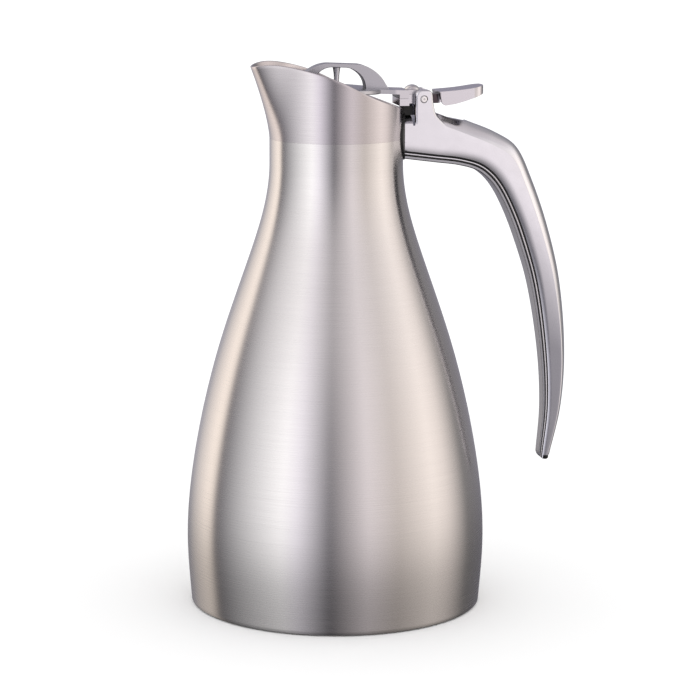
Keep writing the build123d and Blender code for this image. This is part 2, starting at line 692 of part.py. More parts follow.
def cover_path(inset):
    """Outline of the domed cover, from its rim to the stud."""
    edge, shoulder_z = (cover_r - inset, cover_low_z), cover_low_z + 1.6 - inset * 0.4
    dome = Spline((cover_r - inset, shoulder_z), (cover_r - 2.6 - inset * 0.4, cover_low_z + 4.0 - inset),
                  (stud_r + fit_gap, cover_top_z - inset), tangents=[(0, 1), (-1, 0)])
    return [Line(edge, (cover_r - inset, shoulder_z)), dome]


def stopper_cover():
    """Shallow domed cover over the cup."""
    hole = stud_r + fit_gap
    ends = [Line((cover_r, cover_low_z), (cover_r - cup_wall, cover_low_z)),
            Line((hole, cover_top_z), (hole, cover_top_z - cup_wall))]
    return turned(make_face(cover_path(0) + cover_path(cup_wall) + ends))


def stopper_insulation():
    """Foam block inside the stopper."""
    gap = 0.3
    hole = stud_r + gap
    low, flange = cup_bottom_z + cup_wall + gap, cover_low_z + gap
    wide = cup_side_r - cup_wall - 1.0
    outline = Polyline((hole, low), (cup_bottom_r - 0.6, low), (wide, mouth_ring_z + 1.2), (wide, flange),
                       (cover_r - 2.2, flange), (cover_r - 4.6, flange + 2.2),
                       (hole, cover_top_z - 3.0), close=True)
    return turned(make_face(outline))


def lid_gasket():
    ring = washer(gasket_in_r, gasket_out_r, gasket_z, gasket_z + gasket_t)
    lower = ring.edges().filter_by(GeomType.CIRCLE).group_by(Axis.Z)[0]
    return fillet(lower, 0.5)


def post_nut():
    """Cap nut under the cup."""
    top = cup_bottom_z - fit_gap
    hexagon = Pos(0, 0, top - 3.0) * extrude(RegularPolygon(nut_r, 6), amount=3.0)
    dome_r = nut_r * 0.8
    dome = Pos(0, 0, top - nut_h + dome_r) * Sphere(dome_r)
    dome &= block((-beyond, beyond), (-beyond, beyond), (top - beyond, top - 2.9))
    return hexagon + dome - upright(stud_r + fit_gap, 0, top - nut_h + 0.9, top + 5)


parts = {
    "outer_shell": outer_shell,
    "inner_liner": inner_liner,
    "flask_bottom": flask_bottom,
    "mouth_ring": mouth_ring,
    "base_plate": base_plate,
    "tip_off_cover": tip_off_cover,
    "getter": getter,
    "pouring_collar": pouring_collar,
    "neck_lug": neck_lug,
    "handle_pad": handle_pad,
    "handle": handle,
    "handle_strip": handle_strip,
    "handle_tip_plug": handle_tip_plug,
    "set_screw": set_screw,
    "hinge_pin": hinge_pin,
    "lid_bridge": lid_bridge,
    "thumb_lever": thumb_lever,
    "lever_screw": lever_screw,
    "centre_post": centre_post,
    "stopper_stem": stopper_stem,
    "stopper_cup": stopper_cup,
    "stopper_cover": stopper_cover,
    "stopper_insulation": stopper_insulation,
    "lid_gasket": lid_gasket,
    "post_nut": post_nut,
}

os.makedirs("parts", exist_ok=True)
for name, make in parts.items():
    export_step(make(), f"parts/{name}.step")
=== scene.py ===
# %% [markdown]
# # A steel vacuum jug with a flip lid
# The jug is a spun steel body with a welded pouring collar, a cast handle that hangs from the neck, and
# a lid that a thumb lever tips up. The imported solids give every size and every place. Here each visible
# piece gets its finer shape and its finish. All lengths below are millimetres; one factor turns them
# into Blender's metres when a mesh is written.

# %% Load the solids
import json
import math
import bmesh
import bpy
import numpy as np
from mathutils import Matrix, Vector

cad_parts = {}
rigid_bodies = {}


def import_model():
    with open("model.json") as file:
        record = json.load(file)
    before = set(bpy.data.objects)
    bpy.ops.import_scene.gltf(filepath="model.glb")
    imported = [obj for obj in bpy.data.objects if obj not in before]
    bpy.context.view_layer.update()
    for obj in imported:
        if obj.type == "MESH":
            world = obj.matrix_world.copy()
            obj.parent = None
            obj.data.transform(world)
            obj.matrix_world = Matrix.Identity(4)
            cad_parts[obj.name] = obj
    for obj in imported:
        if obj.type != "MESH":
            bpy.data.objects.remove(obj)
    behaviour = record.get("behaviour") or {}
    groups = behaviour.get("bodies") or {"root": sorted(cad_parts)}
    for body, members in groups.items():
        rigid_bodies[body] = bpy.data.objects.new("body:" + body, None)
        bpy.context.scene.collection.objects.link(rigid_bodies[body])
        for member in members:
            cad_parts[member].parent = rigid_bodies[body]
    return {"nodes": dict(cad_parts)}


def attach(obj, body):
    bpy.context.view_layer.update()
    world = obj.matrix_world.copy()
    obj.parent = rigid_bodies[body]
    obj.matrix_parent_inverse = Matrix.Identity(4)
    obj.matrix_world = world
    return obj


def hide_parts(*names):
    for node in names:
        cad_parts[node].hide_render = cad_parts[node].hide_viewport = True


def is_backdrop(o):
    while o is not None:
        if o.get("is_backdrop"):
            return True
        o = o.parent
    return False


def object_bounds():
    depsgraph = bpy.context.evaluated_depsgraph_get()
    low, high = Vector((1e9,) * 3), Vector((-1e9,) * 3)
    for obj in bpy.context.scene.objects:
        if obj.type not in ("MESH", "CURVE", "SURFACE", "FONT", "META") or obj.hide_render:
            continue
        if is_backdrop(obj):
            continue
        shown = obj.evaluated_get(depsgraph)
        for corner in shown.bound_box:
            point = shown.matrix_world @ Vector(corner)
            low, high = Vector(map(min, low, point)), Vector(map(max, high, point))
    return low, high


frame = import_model()
cad_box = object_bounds()
nodes = frame["nodes"]
MM = 0.001

# %% [markdown]
# ## Smooth lines
# Almost every edge on this jug is a smooth line through a few known points: the shoulder, the mouth,
# the arch, the thumb rest. One could draw them by hand as Bezier curves. A cubic spline that is solved
# for its slopes does it from the points alone, and never has a kink, so reflections run over it evenly.

# %% Smooth line through points
def blend(t, run, here, there, leaving, arriving):
    """Cubic from one value to the next with given slopes; t goes from 0 to 1 over the run."""
    return ((2 * t**3 - 3 * t**2 + 1) * here + (t**3 - 2 * t**2 + t) * run * leaving
            + (3 * t**2 - 2 * t**3) * there + (t**3 - t**2) * run * arriving)


def smooth_line(points, steps, start=None, end=None):
    """Points along a cubic spline; start and end are the directions it leaves and arrives in."""
    knots = np.array(points, float)
    chord = np.linalg.norm(np.diff(knots, axis=0), axis=1)
    n = len(knots)
    system, right = np.zeros((n, n)), np.zeros((n, knots.shape[1]))
    for i in range(1, n - 1):
        a, b = chord[i - 1], chord[i]
        system[i, i - 1:i + 2] = b, 2 * (a + b), a
        right[i] = 3 * (b * (knots[i] - knots[i - 1]) / a + a * (knots[i + 1] - knots[i]) / b)
    for row, near, direction in ((0, 1, start), (n - 1, n - 2, end)):
        span = chord[0] if row == 0 else chord[-1]
        system[row, row] = 1.0
        if direction is None:
            system[row, near] = 0.5
            step = (knots[1] - knots[0]) if row == 0 else (knots[-1] - knots[-2])
            right[row] = 1.5 * step / span
        else:
            right[row] = np.array(direction, float) / np.linalg.norm(direction)
    slopes = np.linalg.solve(system, right)
    line = []
    for i in range(n - 1):
        count = max(2, round(steps * chord[i] / chord.sum()))
        line += [blend(t, chord[i], knots[i], knots[i + 1], slopes[i], slopes[i + 1])
                 for t in np.linspace(0, 1, count, endpoint=False)]
    return [tuple(p) for p in line] + [tuple(knots[-1])]


def round_corner(before, corner, after, radius, steps):
    """Arc of that radius in place of a corner."""
    b, c, a = (np.array(p, float) for p in (before, corner, after))
    u, v = (b - c) / np.linalg.norm(b - c), (a - c) / np.linalg.norm(a - c)
    half = math.acos(max(-1, min(1, float(u @ v)))) / 2
    reach = radius / math.tan(half)
    middle = c + (u + v) / np.linalg.norm(u + v) * (radius / math.sin(half))
    first, last = c + u * reach - middle, c + v * reach - middle
    turn = math.pi - 2 * half
    return [tuple(middle + (first * math.sin((1 - t) * turn) + last * math.sin(t * turn)) / math.sin(turn))
            for t in np.linspace(0, 1, steps + 1)]


print("points on a rounded square corner:", len(round_corner((5, 0), (0, 0), (0, 5), 1.0, 8)))

# %% [markdown]
# ## Closed shapes
# A casting is easiest to trust when it is a closed mesh: it can be joined to another or cut by it. One
# could start each from a cube and pull it into shape. Here they are written from points: `prism` pushes a
# flat outline through a thickness, `slab` is a plain box, and `skinned` lays a skin over a row of loops.

# %% Mesh makers
def cleaned(mesh, merge=1e-7, sliver=1e-8, outward=True):
    """Merge doubles, drop slivers and, on a new shape, turn all faces outwards; distances in metres."""
    work = bmesh.new()
    work.from_mesh(mesh)
    bmesh.ops.remove_doubles(work, verts=work.verts, dist=merge)
    bmesh.ops.dissolve_degenerate(work, edges=work.edges, dist=sliver)
    if outward:
        bmesh.ops.recalc_face_normals(work, faces=work.faces)
    work.to_mesh(mesh)
    work.free()


def placed_in_scene(name, data):
    thing = bpy.data.objects.new(name, data)
    bpy.context.scene.collection.objects.link(thing)
    return thing


def made(name, points, faces):
    """New object in metres from points in millimetres."""
    mesh = bpy.data.meshes.new(name)
    mesh.from_pydata([tuple(MM * c for c in p) for p in points], [], faces)
    cleaned(mesh)
    return placed_in_scene(name, mesh)


def prism(name, outline, low, high, side_view=True):
    """Outline pushed from low to high: along Y if it is drawn in side view, else along Z."""
    place = (lambda p, t: (p[0], t, p[1])) if side_view else (lambda p, t: (p[0], p[1], t))
    n = len(outline)
    points = [place(p, low) for p in outline] + [place(p, high) for p in outline]
    faces = [list(range(n)), list(range(2 * n - 1, n - 1, -1))]
    faces += [[i, (i + 1) % n, n + (i + 1) % n, n + i] for i in range(n)]
    return made(name, points, faces)


def slab(name, x, y, z):
    """Plain box from three (low, high) pairs."""
    outline = [(x[0], z[0]), (x[1], z[0]), (x[1], z[1]), (x[0], z[1])]
    return prism(name, outline, *y)


def skinned(name, loops, endless=False):
    """Skin over equal closed loops of points, capped at both ends unless the loops run round in a ring."""
    n, m = len(loops[0]), len(loops)
    faces = [] if endless else [list(range(n)), list(range(m * n - 1, (m - 1) * n - 1, -1))]
    faces += [[k * n + i, k * n + (i + 1) % n, (k + 1) % m * n + (i + 1) % n, (k + 1) % m * n + i]
              for k in range(m if endless else m - 1) for i in range(n)]
    return made(name, [p for loop in loops for p in loop], faces)


print("makers write metres, one millimetre is", MM)

# %% [markdown]
# ## Joining and cutting
# A milled slot or a drilled hole is a cut, and a lug cast on a block is a join. One could stitch the
# faces by hand, but the exact solver of the Boolean modifier does both cleanly on closed meshes. It fails
# without a word where a mesh crosses itself, so every shape here is built so that it never does.

# %% Joining and cutting
HAIR = 2e-6


def applied(piece):
    """Turn live modifiers into plain mesh."""
    graph = bpy.context.evaluated_depsgraph_get()
    mesh = bpy.data.meshes.new_from_object(piece.evaluated_get(graph))
    piece.modifiers.clear()
    piece.data = mesh
    return piece


def combined(piece, others, operation):
    """Boolean with each other piece in turn; the others are used up."""
    for other in others:
        step = piece.modifiers.new("combine", "BOOLEAN")
        step.operation, step.solver, step.object = operation, "EXACT", other
        applied(piece)
        bpy.data.objects.remove(other)
    cleaned(piece.data, HAIR, HAIR, outward=False)
    return piece


def joined(piece, *others):
    return combined(piece, others, "UNION")


def cut(piece, *others):
    return combined(piece, others, "DIFFERENCE")


def shared(piece, *others):
    return combined(piece, others, "INTERSECT")


print("after a cut, points closer than", HAIR / MM, "mm are one")

# %% [markdown]
# ## Rounding and shading
# Real edges are never sharp: tumbling and belts leave them a little round, and that narrow band catches
# the light, so a Bevel modifier goes over them. Subdivision would round them as well, but would move the
# flat faces too. Afterwards large faces rule the shading normals, so flat sides stay flat beside the
# narrow bands.

# %% Rounding and shading
EVEN_WEIGHT = 50


def softened(piece, width, angle, segments):
    """Small rounding on every edge sharper than the angle in degrees."""
    step = piece.modifiers.new("soften", "BEVEL")
    step.width, step.segments, step.limit_method = width * MM, segments, "ANGLE"
    step.angle_limit, step.miter_outer = math.radians(angle), "MITER_ARC"
    return applied(piece)


def shaded(piece, angle, even=False):
    """Smooth shading that still breaks at real edges; even lets large faces rule the normals."""
    piece.data.shade_smooth()
    piece.data.set_sharp_from_angle(angle=math.radians(angle))
    if even:
        step = piece.modifiers.new("evened", "WEIGHTED_NORMAL")
        step.mode, step.weight, step.keep_sharp = "FACE_AREA", EVEN_WEIGHT, True
        applied(piece)
    return piece


def moved(piece, x, y, z):
    piece.data.transform(Matrix.Translation((x * MM, y * MM, z * MM)))
    return piece


print("helpers:", [tool.__name__ for tool in (softened, shaded, moved)])

# %% [markdown]
# ## Node tools
# Geometry and materials are both trees of nodes. One could join them by hand in the editor; a small
# function that adds a node with its settings, values and links keeps a tree readable as text. Colours
# are written as the hex values that one sees, and turned to the linear values that light adds up in.

# %% Node tools
def linear(hex_colour):
    """sRGB hex to linear RGBA."""
    channels = [int(hex_colour[i:i + 2], 16) / 255 for i in (1, 3, 5)]
    return tuple(c / 12.92 if c <= 0.04045 else ((c + 0.055) / 1.055) ** 2.4 for c in channels) + (1.0,)


def add(tree, kind, settings=None, links=None, **inputs):
    """One node. Settings are attributes. Links come from a socket, or from a node's first output. Inputs
    are values, and _3 means the socket at place 3."""
    node = tree.nodes.new(kind)
    for key, value in (settings or {}).items():
        setattr(node, key, value)
    for key, value in inputs.items():
        socket = int(key[1:]) if key[1:].isdigit() else key.replace("_", " ")
        node.inputs[socket].default_value = value
    for key, source in (links or {}).items():
        tree.links.new(getattr(source, "outputs", [source])[0], node.inputs[key])
    return node


print("mid grey in linear light:", round(linear("#808080")[0], 3))

# %% [markdown]
# ## Turned pieces
# The body, the lid's disc, the post and the dome of the screw are all spun or turned on a lathe, so one
# Geometry Nodes tree makes them all: it carries an outline round a circle. The outline is a curve
# object. The steps round the axis, the circle's radius and the finish are the other named inputs.

# %% Geometry Nodes lathe
def lathe_tree():
    tree = bpy.data.node_groups.new("Lathe", "GeometryNodeTree")
    wanted = {"Outline": "Object", "Steps": "Int", "Circle radius": "Float", "Finish": "Material"}
    for label, kind in wanted.items():
        tree.interface.new_socket(label, in_out="INPUT", socket_type="NodeSocket" + kind)
    tree.interface.new_socket("Geometry", in_out="OUTPUT", socket_type="NodeSocketGeometry")
    given = add(tree, "NodeGroupInput").outputs
    drawn = add(tree, "GeometryNodeObjectInfo", links={"Object": given["Outline"]})
    circle = add(tree, "GeometryNodeCurvePrimitiveCircle",
                 links={"Resolution": given["Steps"], "Radius": given["Circle radius"]})
    upright = add(tree, "GeometryNodeSetCurveNormal", {"mode": "Z_UP"}, {"Curve": circle})
    spun = add(tree, "GeometryNodeCurveToMesh",
               links={"Curve": upright, "Profile Curve": drawn.outputs["Geometry"]})
    real = add(tree, "GeometryNodeRealizeInstances", links={"Geometry": spun})
    coated = add(tree, "GeometryNodeSetMaterial", links={"Geometry": real, "Material": given["Finish"]})
    add(tree, "NodeGroupOutput", links={"Geometry": coated})
    return tree


LATHE = lathe_tree()
print("lathe inputs:", [item.name for item in LATHE.interface.items_tree if item.in_out == "INPUT"])

# %% [markdown]
# ## One turned piece
# Each turned piece gets its own outline and its own modifier with that tree. The inputs are set by the
# socket's identifier before the object is evaluated. Then the result is made plain mesh, its doubles are
# merged at the axis and its faces are turned outwards.

# %% Turned piece
LATHE_CIRCLE = 10.0


def turned(name, outline, steps, coat=None):
    """Closed outline of (radius, height) pairs, spun round the jug's axis."""
    line = bpy.data.curves.new(name + "_outline", "CURVE")
    line.dimensions = "3D"
    path = line.splines.new("POLY")
    path.points.add(len(outline) - 1)
    for point, (r, z) in zip(path.points, outline):
        point.co = ((r - LATHE_CIRCLE) * MM, -z * MM, 0, 1)
    path.use_cyclic_u = True
    drawn = placed_in_scene(name + "_outline", line)
    piece = placed_in_scene(name, bpy.data.meshes.new(name))
    step = piece.modifiers.new("lathe", "NODES")
    step.node_group = LATHE
    values = {"Outline": drawn, "Steps": steps, "Circle radius": LATHE_CIRCLE * MM, "Finish": coat}
    for socket in LATHE.interface.items_tree:
        if socket.in_out == "INPUT" and values.get(socket.name) is not None:
            step[socket.identifier] = values[socket.name]
    applied(piece)
    bpy.data.objects.remove(drawn)
    cleaned(piece.data)
    return piece


print("the lathe's circle:", LATHE_CIRCLE, "mm; outlines are drawn from it")

# %% [markdown]
# ## Finishes
# A finish is a named node material. It starts from what the stuff is: metallic or not, how rough, which
# colour. Steel is fully metallic and keeps the default index of refraction. Nothing real is quite even,
# so a fine noise lifts the surface a little and may vary the roughness with it. The noise reads the
# piece's own place in metres, so a pattern keeps its real size on every piece.

# %% Finish tools
def finish(name, colour, metallic, roughness, **more):
    """Plain finish: its material, its tree, its shader and the piece's own coordinates."""
    material = bpy.data.materials.new(name)
    material.use_nodes = True
    material.diffuse_color = linear(colour)
    tree = material.node_tree
    shader = tree.nodes["Principled BSDF"]
    values = {"Base Color": linear(colour), "Metallic": metallic, "Roughness": roughness, **more}
    for key, value in values.items():
        shader.inputs[key.replace("_", " ")].default_value = value
    return material, tree, shader, add(tree, "ShaderNodeTexCoord")


def noise_scale(grain_mm, grains=1):
    """Noise scale at which the coarsest cell is that many grains wide; finer ones lie inside it."""
    return 1 / MM / grain_mm / grains


def roughen(tree, shader, place, scale, strength, deep_mm, tone=None, **noise):
    """Fine unevenness. The tone is the span of noise that counts and the roughness at its two ends."""
    grain = add(tree, "ShaderNodeTexNoise", links={"Vector": place}, Scale=scale, **noise)
    bump = add(tree, "ShaderNodeBump", links={"Height": grain}, Strength=strength, Distance=deep_mm * MM)
    tree.links.new(bump.outputs[0], shader.inputs["Normal"])
    if tone:
        low, high, smooth, rough = tone
        blur = add(tree, "ShaderNodeMapRange", links={0: grain}, _1=low, _2=high, _3=smooth, _4=rough)
        tree.links.new(blur.outputs[0], shader.inputs["Roughness"])


print("a noise with a cell of 1 mm has the scale", round(noise_scale(1.0)))

# %% [markdown]
# ## Brushed stainless steel
# The body turns against an abrasive belt, so its grain runs round it in fine level lines. The lines blur
# reflections upwards and downwards but hardly sideways, which gives the long upright bands of light. The
# shader's anisotropy does that with a tangent that circles the axis. Real grain is about 0.05 mm apart;
# it is drawn at 0.4 mm so that it shows. Slow streaks a few centimetres long break up the bands.

# %% Brushed steel
# How far the lines stretch a reflection, their direction as a share of a turn, and their drawn depth.
BRUSH_PULL, LEVEL_LINES, BRUSH_DEEP_MM = 0.85, 0.25, 0.3
STREAK_TURNS, BRUSH_NOISE, SKIN_BLUR = 2.0, (0.3, 0.7), 0.03
# Finer copies of the noise that are laid over it, and how strong each is against the one before.
BRUSH_LAYERS = {"Detail": 3.0, "Roughness": 0.6}


def brushed_round(name, colour, roughness, grain_mm=0.4, strength=0.002):
    """Belt-brushed steel: level lines of grain that are long round the axis and fine in height."""
    material, tree, shader, where = finish(name, colour, 1.0, roughness, Anisotropic=BRUSH_PULL,
                                           Anisotropic_Rotation=LEVEL_LINES)
    parts = add(tree, "ShaderNodeSeparateXYZ", links={0: where.outputs["Object"]}).outputs
    flat = add(tree, "ShaderNodeCombineXYZ", links={"X": parts["X"], "Y": parts["Y"]})
    round_way = add(tree, "ShaderNodeVectorMath", {"operation": "NORMALIZE"}, {0: flat})
    stretched = add(tree, "ShaderNodeVectorMath", {"operation": "SCALE"}, {0: round_way}, Scale=STREAK_TURNS)
    level = add(tree, "ShaderNodeMath", {"operation": "MULTIPLY"}, {0: parts["Z"]}, _1=noise_scale(grain_mm))
    lifted = add(tree, "ShaderNodeCombineXYZ", links={"Z": level})
    place = add(tree, "ShaderNodeVectorMath", {"operation": "ADD"}, {0: stretched, 1: lifted})
    roughen(tree, shader, place, 1.0, strength, BRUSH_DEEP_MM,
            (*BRUSH_NOISE, roughness - SKIN_BLUR, roughness + SKIN_BLUR), **BRUSH_LAYERS)
    tangent = add(tree, "ShaderNodeTangent", {"direction_type": "RADIAL", "axis": "Z"})
    tree.links.new(tangent.outputs[0], shader.inputs["Tangent"])
    return material


# Spun sheet under a fine belt: long soft bands of light from foot to neck.
shell_steel = brushed_round("brushed_stainless_body", "#cac7c7", 0.26)
# Drawn sheet, brushed across the weld: a shade darker than the body.
collar_steel = brushed_round("satin_stainless_collar", "#beb9bc", 0.27)
# Deep-drawn and only rinsed: bright, with faint drawing lines.
flask_steel = brushed_round("bright_drawn_stainless", "#d2d1d0", 0.16, grain_mm=0.8, strength=0.02)
# Pressed sheet off the tool: dull and even.
base_steel = brushed_round("satin_pressed_stainless", "#b4b3b1", 0.34)
print("brushed finishes:", [m.name for m in (shell_steel, collar_steel, flask_steel, base_steel)])

# %% [markdown]
# ## Sizes
# These are the lengths that the pieces share. They are the ones the solids were drawn with, so each
# finer shape lies over its solid. Heights count from the table, and X runs from the spout to the handle.

# %% Shared sizes
NECK_R, SEAM_Z, SEAM_GAP = 31.0, 219.5, 0.03
SHELL_WALL, FIT = 0.8, 0.05
HANDLE_HALF_W, PAD_T = 8.5, 0.8
HEAD_TOP_Z = SEAM_Z + 10.3
PIN_X, PIN_Z, PIN_R = 39.6, 237.4, 1.6
EAR_FRONT_X, EAR_BACK_X, EAR_GAP = PIN_X - 4.1, PIN_X + 4.6, 4.3
LID_SLOPE, STRAP_OVER_PIN = 2.5, 3.87
LID_TOP_Z = PIN_Z + STRAP_OVER_PIN + PIN_X * math.tan(math.radians(LID_SLOPE))
print("top of the lid plate:", round(LID_TOP_Z, 2), "mm")

# %% [markdown]
# ## The body
# The outer shell is one deep-drawn and spun sheet: a straight neck, a long shoulder and a belly low
# down. It could be a subdivided cage, but a spun piece is exactly an outline carried round an axis, so
# the lathe makes it. The sheet has its real wall, and its lower edge is turned in slightly.

# %% Outer shell
FOOT_R, FOOT_EDGE_Z, BELLY_R, BELLY_Z, NECK_START_Z = 68.2, 0.6, 70.0, 28.0, 208.0
FOOT_LEAN, FOOT_ROUND = (0.08, 1), [(0.24, 0.03), (0.07, 0.1), (0, 0.26)]
# Shares of the way from the neck out to the belly, and from the belly up to the neck.
SHOULDER = [(0.890, 0.261), (0.585, 0.539), (0.238, 0.761), (0.051, 0.900)]
NECK_ROWS = (4, 8)


def shell_line(inset):
    """Side of the body from the foot to the weld line, moved inwards by the inset."""
    rise, drop = NECK_START_Z - BELLY_Z, BELLY_R - NECK_R
    knots = [(FOOT_R, FOOT_EDGE_Z), (BELLY_R, BELLY_Z)]
    knots += [(NECK_R + drop * left, BELLY_Z + rise * up) for left, up in SHOULDER]
    knots += [(NECK_R, NECK_START_Z)]
    line = smooth_line(knots, 120, start=FOOT_LEAN, end=(0, 1))
    line += [(NECK_R, NECK_START_Z + up) for up in NECK_ROWS] + [(NECK_R, SEAM_Z - SEAM_GAP / 2)]
    return [(r - inset, z) for r, z in line]


foot_edge = [(FOOT_R - back, FOOT_EDGE_Z + up) for back, up in FOOT_ROUND]
wall_line = foot_edge + shell_line(0)[1:] + shell_line(SHELL_WALL)[::-1]
body = turned("body_shell", wall_line, 256, shell_steel)
shaded(body, 40)
widest = 2 * max(v.co.x for v in body.data.vertices) / MM
print("body:", len(body.data.polygons), "faces, widest", round(widest, 1))

# %% [markdown]
# ## The pouring collar
# A drawn collar is welded on top of the neck. Seen from above it is a circle with a lip drawn out
# towards the spout, and its mouth is trimmed along a sloping line. A rule gives both: the radius at any
# height and angle, and the trim height at any distance from the axis. So the mesh is a grid over angle
# and profile, and the rolled rim and the spigot inside the neck are part of the same closed profile.

# %% Pouring collar
SPOUT_REACH, SPOUT_RISE, SPOUT_FLARE, SPOUT_SPREAD = 9.2, 33.4, 1.38, 24.0
TRIM_STEPS = 60
COLLAR_WALL, SKIRT_WALL, SKIRT_UP, LAND_Z = 1.0, 0.65, 0.7, 215.6
RIM_FLAT, STEP_CLEAR, STEP_DROP, RIM_GUESS, TURNS = 0.9, 0.4, 0.15, 20, 288
# Distance from the axis as a share of the neck's radius, and height over the seam.
RIM_LINE = [(-1.355, 32.8), (-1.161, 34.4), (-0.968, 34.7), (-0.645, 33.1), (-0.323, 30.4), (0.0, 26.4),
            (0.323, 21.4), (0.645, 17.5), (1.097, 12.4)]
rim_points = np.array(smooth_line([(x * NECK_R, SEAM_Z + up) for x, up in RIM_LINE], 200))


def collar_radius(z, turn):
    off_spout = abs(abs(math.degrees(turn)) - 180)
    reach = SPOUT_REACH * (max(z - SEAM_Z, 0) / SPOUT_RISE) ** SPOUT_FLARE
    return NECK_R + reach * math.exp(-(off_spout / SPOUT_SPREAD) ** 2)


def rim_height(turn):
    """Height at which the wall meets the trim line, found by going halfway towards it again and again."""
    z = SEAM_Z + RIM_GUESS
    for _ in range(TRIM_STEPS):
        x = collar_radius(z, turn) * math.cos(turn)
        z = 0.5 * z + 0.5 * float(np.interp(x, rim_points[:, 0], rim_points[:, 1]))
    return z


def collar_profile(turn, rows=28, lip=6):
    """Closed (radius, height) outline of the collar's wall at one angle."""
    low, high = SEAM_Z + SEAM_GAP / 2, rim_height(turn)
    half = COLLAR_WALL / 2
    top = high - half * RIM_FLAT
    up = [low + (top - low) * k / rows for k in range(rows + 1)]
    line = [(collar_radius(z, turn), z) for z in up]
    centre = collar_radius(top, turn) - half
    for k in range(1, lip):
        a = math.pi * k / lip
        line.append((centre + half * math.cos(a), top + half * RIM_FLAT * math.sin(a)))
    step_z = SEAM_Z + SKIRT_UP
    inside = [z for z in up[::-1] if z > step_z + STEP_CLEAR]
    line += [(collar_radius(z, turn) - COLLAR_WALL, z) for z in inside]
    line += [(NECK_R - COLLAR_WALL, step_z)] * (rows + 1 - len(inside))
    out_r = NECK_R - SHELL_WALL - FIT
    in_r = out_r - SKIRT_WALL
    return line + [(in_r, step_z - STEP_DROP), (in_r, LAND_Z + FIT), (out_r, LAND_Z + FIT), (out_r, low)]


turns = [2 * math.pi * (i + 0.5) / TURNS - math.pi for i in range(TURNS)]
loops = [[(r * math.cos(turn), r * math.sin(turn), z) for r, z in collar_profile(turn)] for turn in turns]
collar = shaded(skinned("pouring_lip", loops, endless=True), 50)
spout_x = min(v.co.x for v in collar.data.vertices) / MM
print("collar:", len(collar.data.polygons), "faces, spout tip at x", round(spout_x, 1))

# %% [markdown]
# ## Handle stations
# The grip is a hollow casting. Its shape is known at ten stations, each with a point on the finger side,
# one on the outer side, half the width and the height of the crowned spine. A curve with one swept
# section could not do, because the section itself changes on the way. So every value is eased along the
# handle, and a section of its own is drawn at each place.

# %% Handle stations
# Finger side and outer side as (x from the neck, z from the seam), half the width, height of the crown.
HEAD = [((-1.0, -9.6), (-0.5, 10.2), 8.5, 3.4), ((14.5, -11.6), (16.5, 12.6), 8.5, 6.2)]
GRIP = [HEAD[1], ((26.3, -13.2), (31.1, 7.0), 8.5, 6.0), ((35.5, -16.2), (44.1, 1.7), 8.5, 6.0),
        ((42.4, -22.3), (54.4, -5.1), 8.45, 5.6), ((48.5, -32.5), (61.6, -19.2), 8.25, 5.4),
        ((55.2, -48.9), (69.9, -42.1), 7.9, 4.7), ((62.0, -71.3), (76.4, -68.5), 7.4, 3.8),
        ((67.2, -102.5), (79.6, -101.7), 6.7, 2.6), ((68.9, -129.5), (78.3, -129.5), 5.9, 2.0),
        ((67.2, -154.2), (72.6, -155.6), 4.8, 1.4)]


def eased(stations, count):
    """Evenly spread stations, each value eased along the handle."""
    values = np.array([(*inner, *outer, *rest) for inner, outer, *rest in stations])
    middles = (values[:, 0:2] + values[:, 2:4]) / 2
    along = np.concatenate([[0], np.cumsum(np.linalg.norm(np.diff(middles, axis=0), axis=1))])
    last = len(values) - 1
    slopes = [(values[min(i + 1, last)] - values[max(i - 1, 0)])
              / (along[min(i + 1, last)] - along[max(i - 1, 0)]) for i in range(last + 1)]
    result = []
    for place in np.linspace(0, along[-1], count):
        i = min(max(int(np.searchsorted(along, place)) - 1, 0), last - 1)
        run = along[i + 1] - along[i]
        t = (place - along[i]) / run
        result.append(blend(t, run, values[i], values[i + 1], slopes[i], slopes[i + 1]))
    return result


def placed(row, across_points):
    """Section points (depth from the finger side, sideways) put in space at a station."""
    inner = np.array([NECK_R + row[0], 0, SEAM_Z + row[1]])
    outer = np.array([NECK_R + row[2], 0, SEAM_Z + row[3]])
    along = (outer - inner) / np.linalg.norm(outer - inner)
    return [tuple(inner + along * a + np.array([0, b, 0])) for a, b in across_points]


def depth(row):
    return math.hypot(row[2] - row[0], row[3] - row[1])


first, second = (np.array([*inner, *outer, *rest]) for inner, outer, *rest in HEAD)
head_rows = [first * (1 - t) + second * t for t in np.linspace(0, 1, 9)]
grip_rows = eased(GRIP, 110)
# A little longer than the grip, so that its free end can be cut round.
past_end = [grip_rows[-1] + (grip_rows[-1] - grip_rows[-2]) * k for k in (1, 2, 3)]
rows = head_rows[:-1] + grip_rows + past_end
print("sections along the handle:", len(rows), "deepest", round(max(depth(r) for r in rows), 1), "mm")

# %% [markdown]
# ## Flank of the grip
# Each side of the grip is a flank. At the head it is nearly flat with a slight bow; in the slim lower run
# it leans inwards to the fingers. From its foot a slope runs down to the edge of the inlaid strip. These
# are rules over the station, so they are functions, and every line on the handle is placed with them.

# %% Flank and slope
# The rolled edge: its depth at the head, how much it thins for each mm that the grip is narrower, and the
# share of it at which the flank starts. Then the same for how far the strip's edge is set in.
EDGE_DEPTH, EDGE_THINS, FOOT_SHARE = 4.7, 0.72, 0.82
EDGE_INSET, INSET_THINS, JOINT_DEPTH_SHARE, JOINT_INSET_SHARE = 2.5, 0.24, 0.3, 0.5
SLIM_BY = 1.8
ONSET_AFTER, ONSET_AT_HEAD, ONSET_MOST, ROLL = 1.0, 2.4, 0.75, 0.12
SIDE_BOW, BOW_TOP, BOW_FROM_X, BOW_RUN = 0.4, 0.62, 14.5, 20
END_LEAN = math.tan(math.radians(12.0))


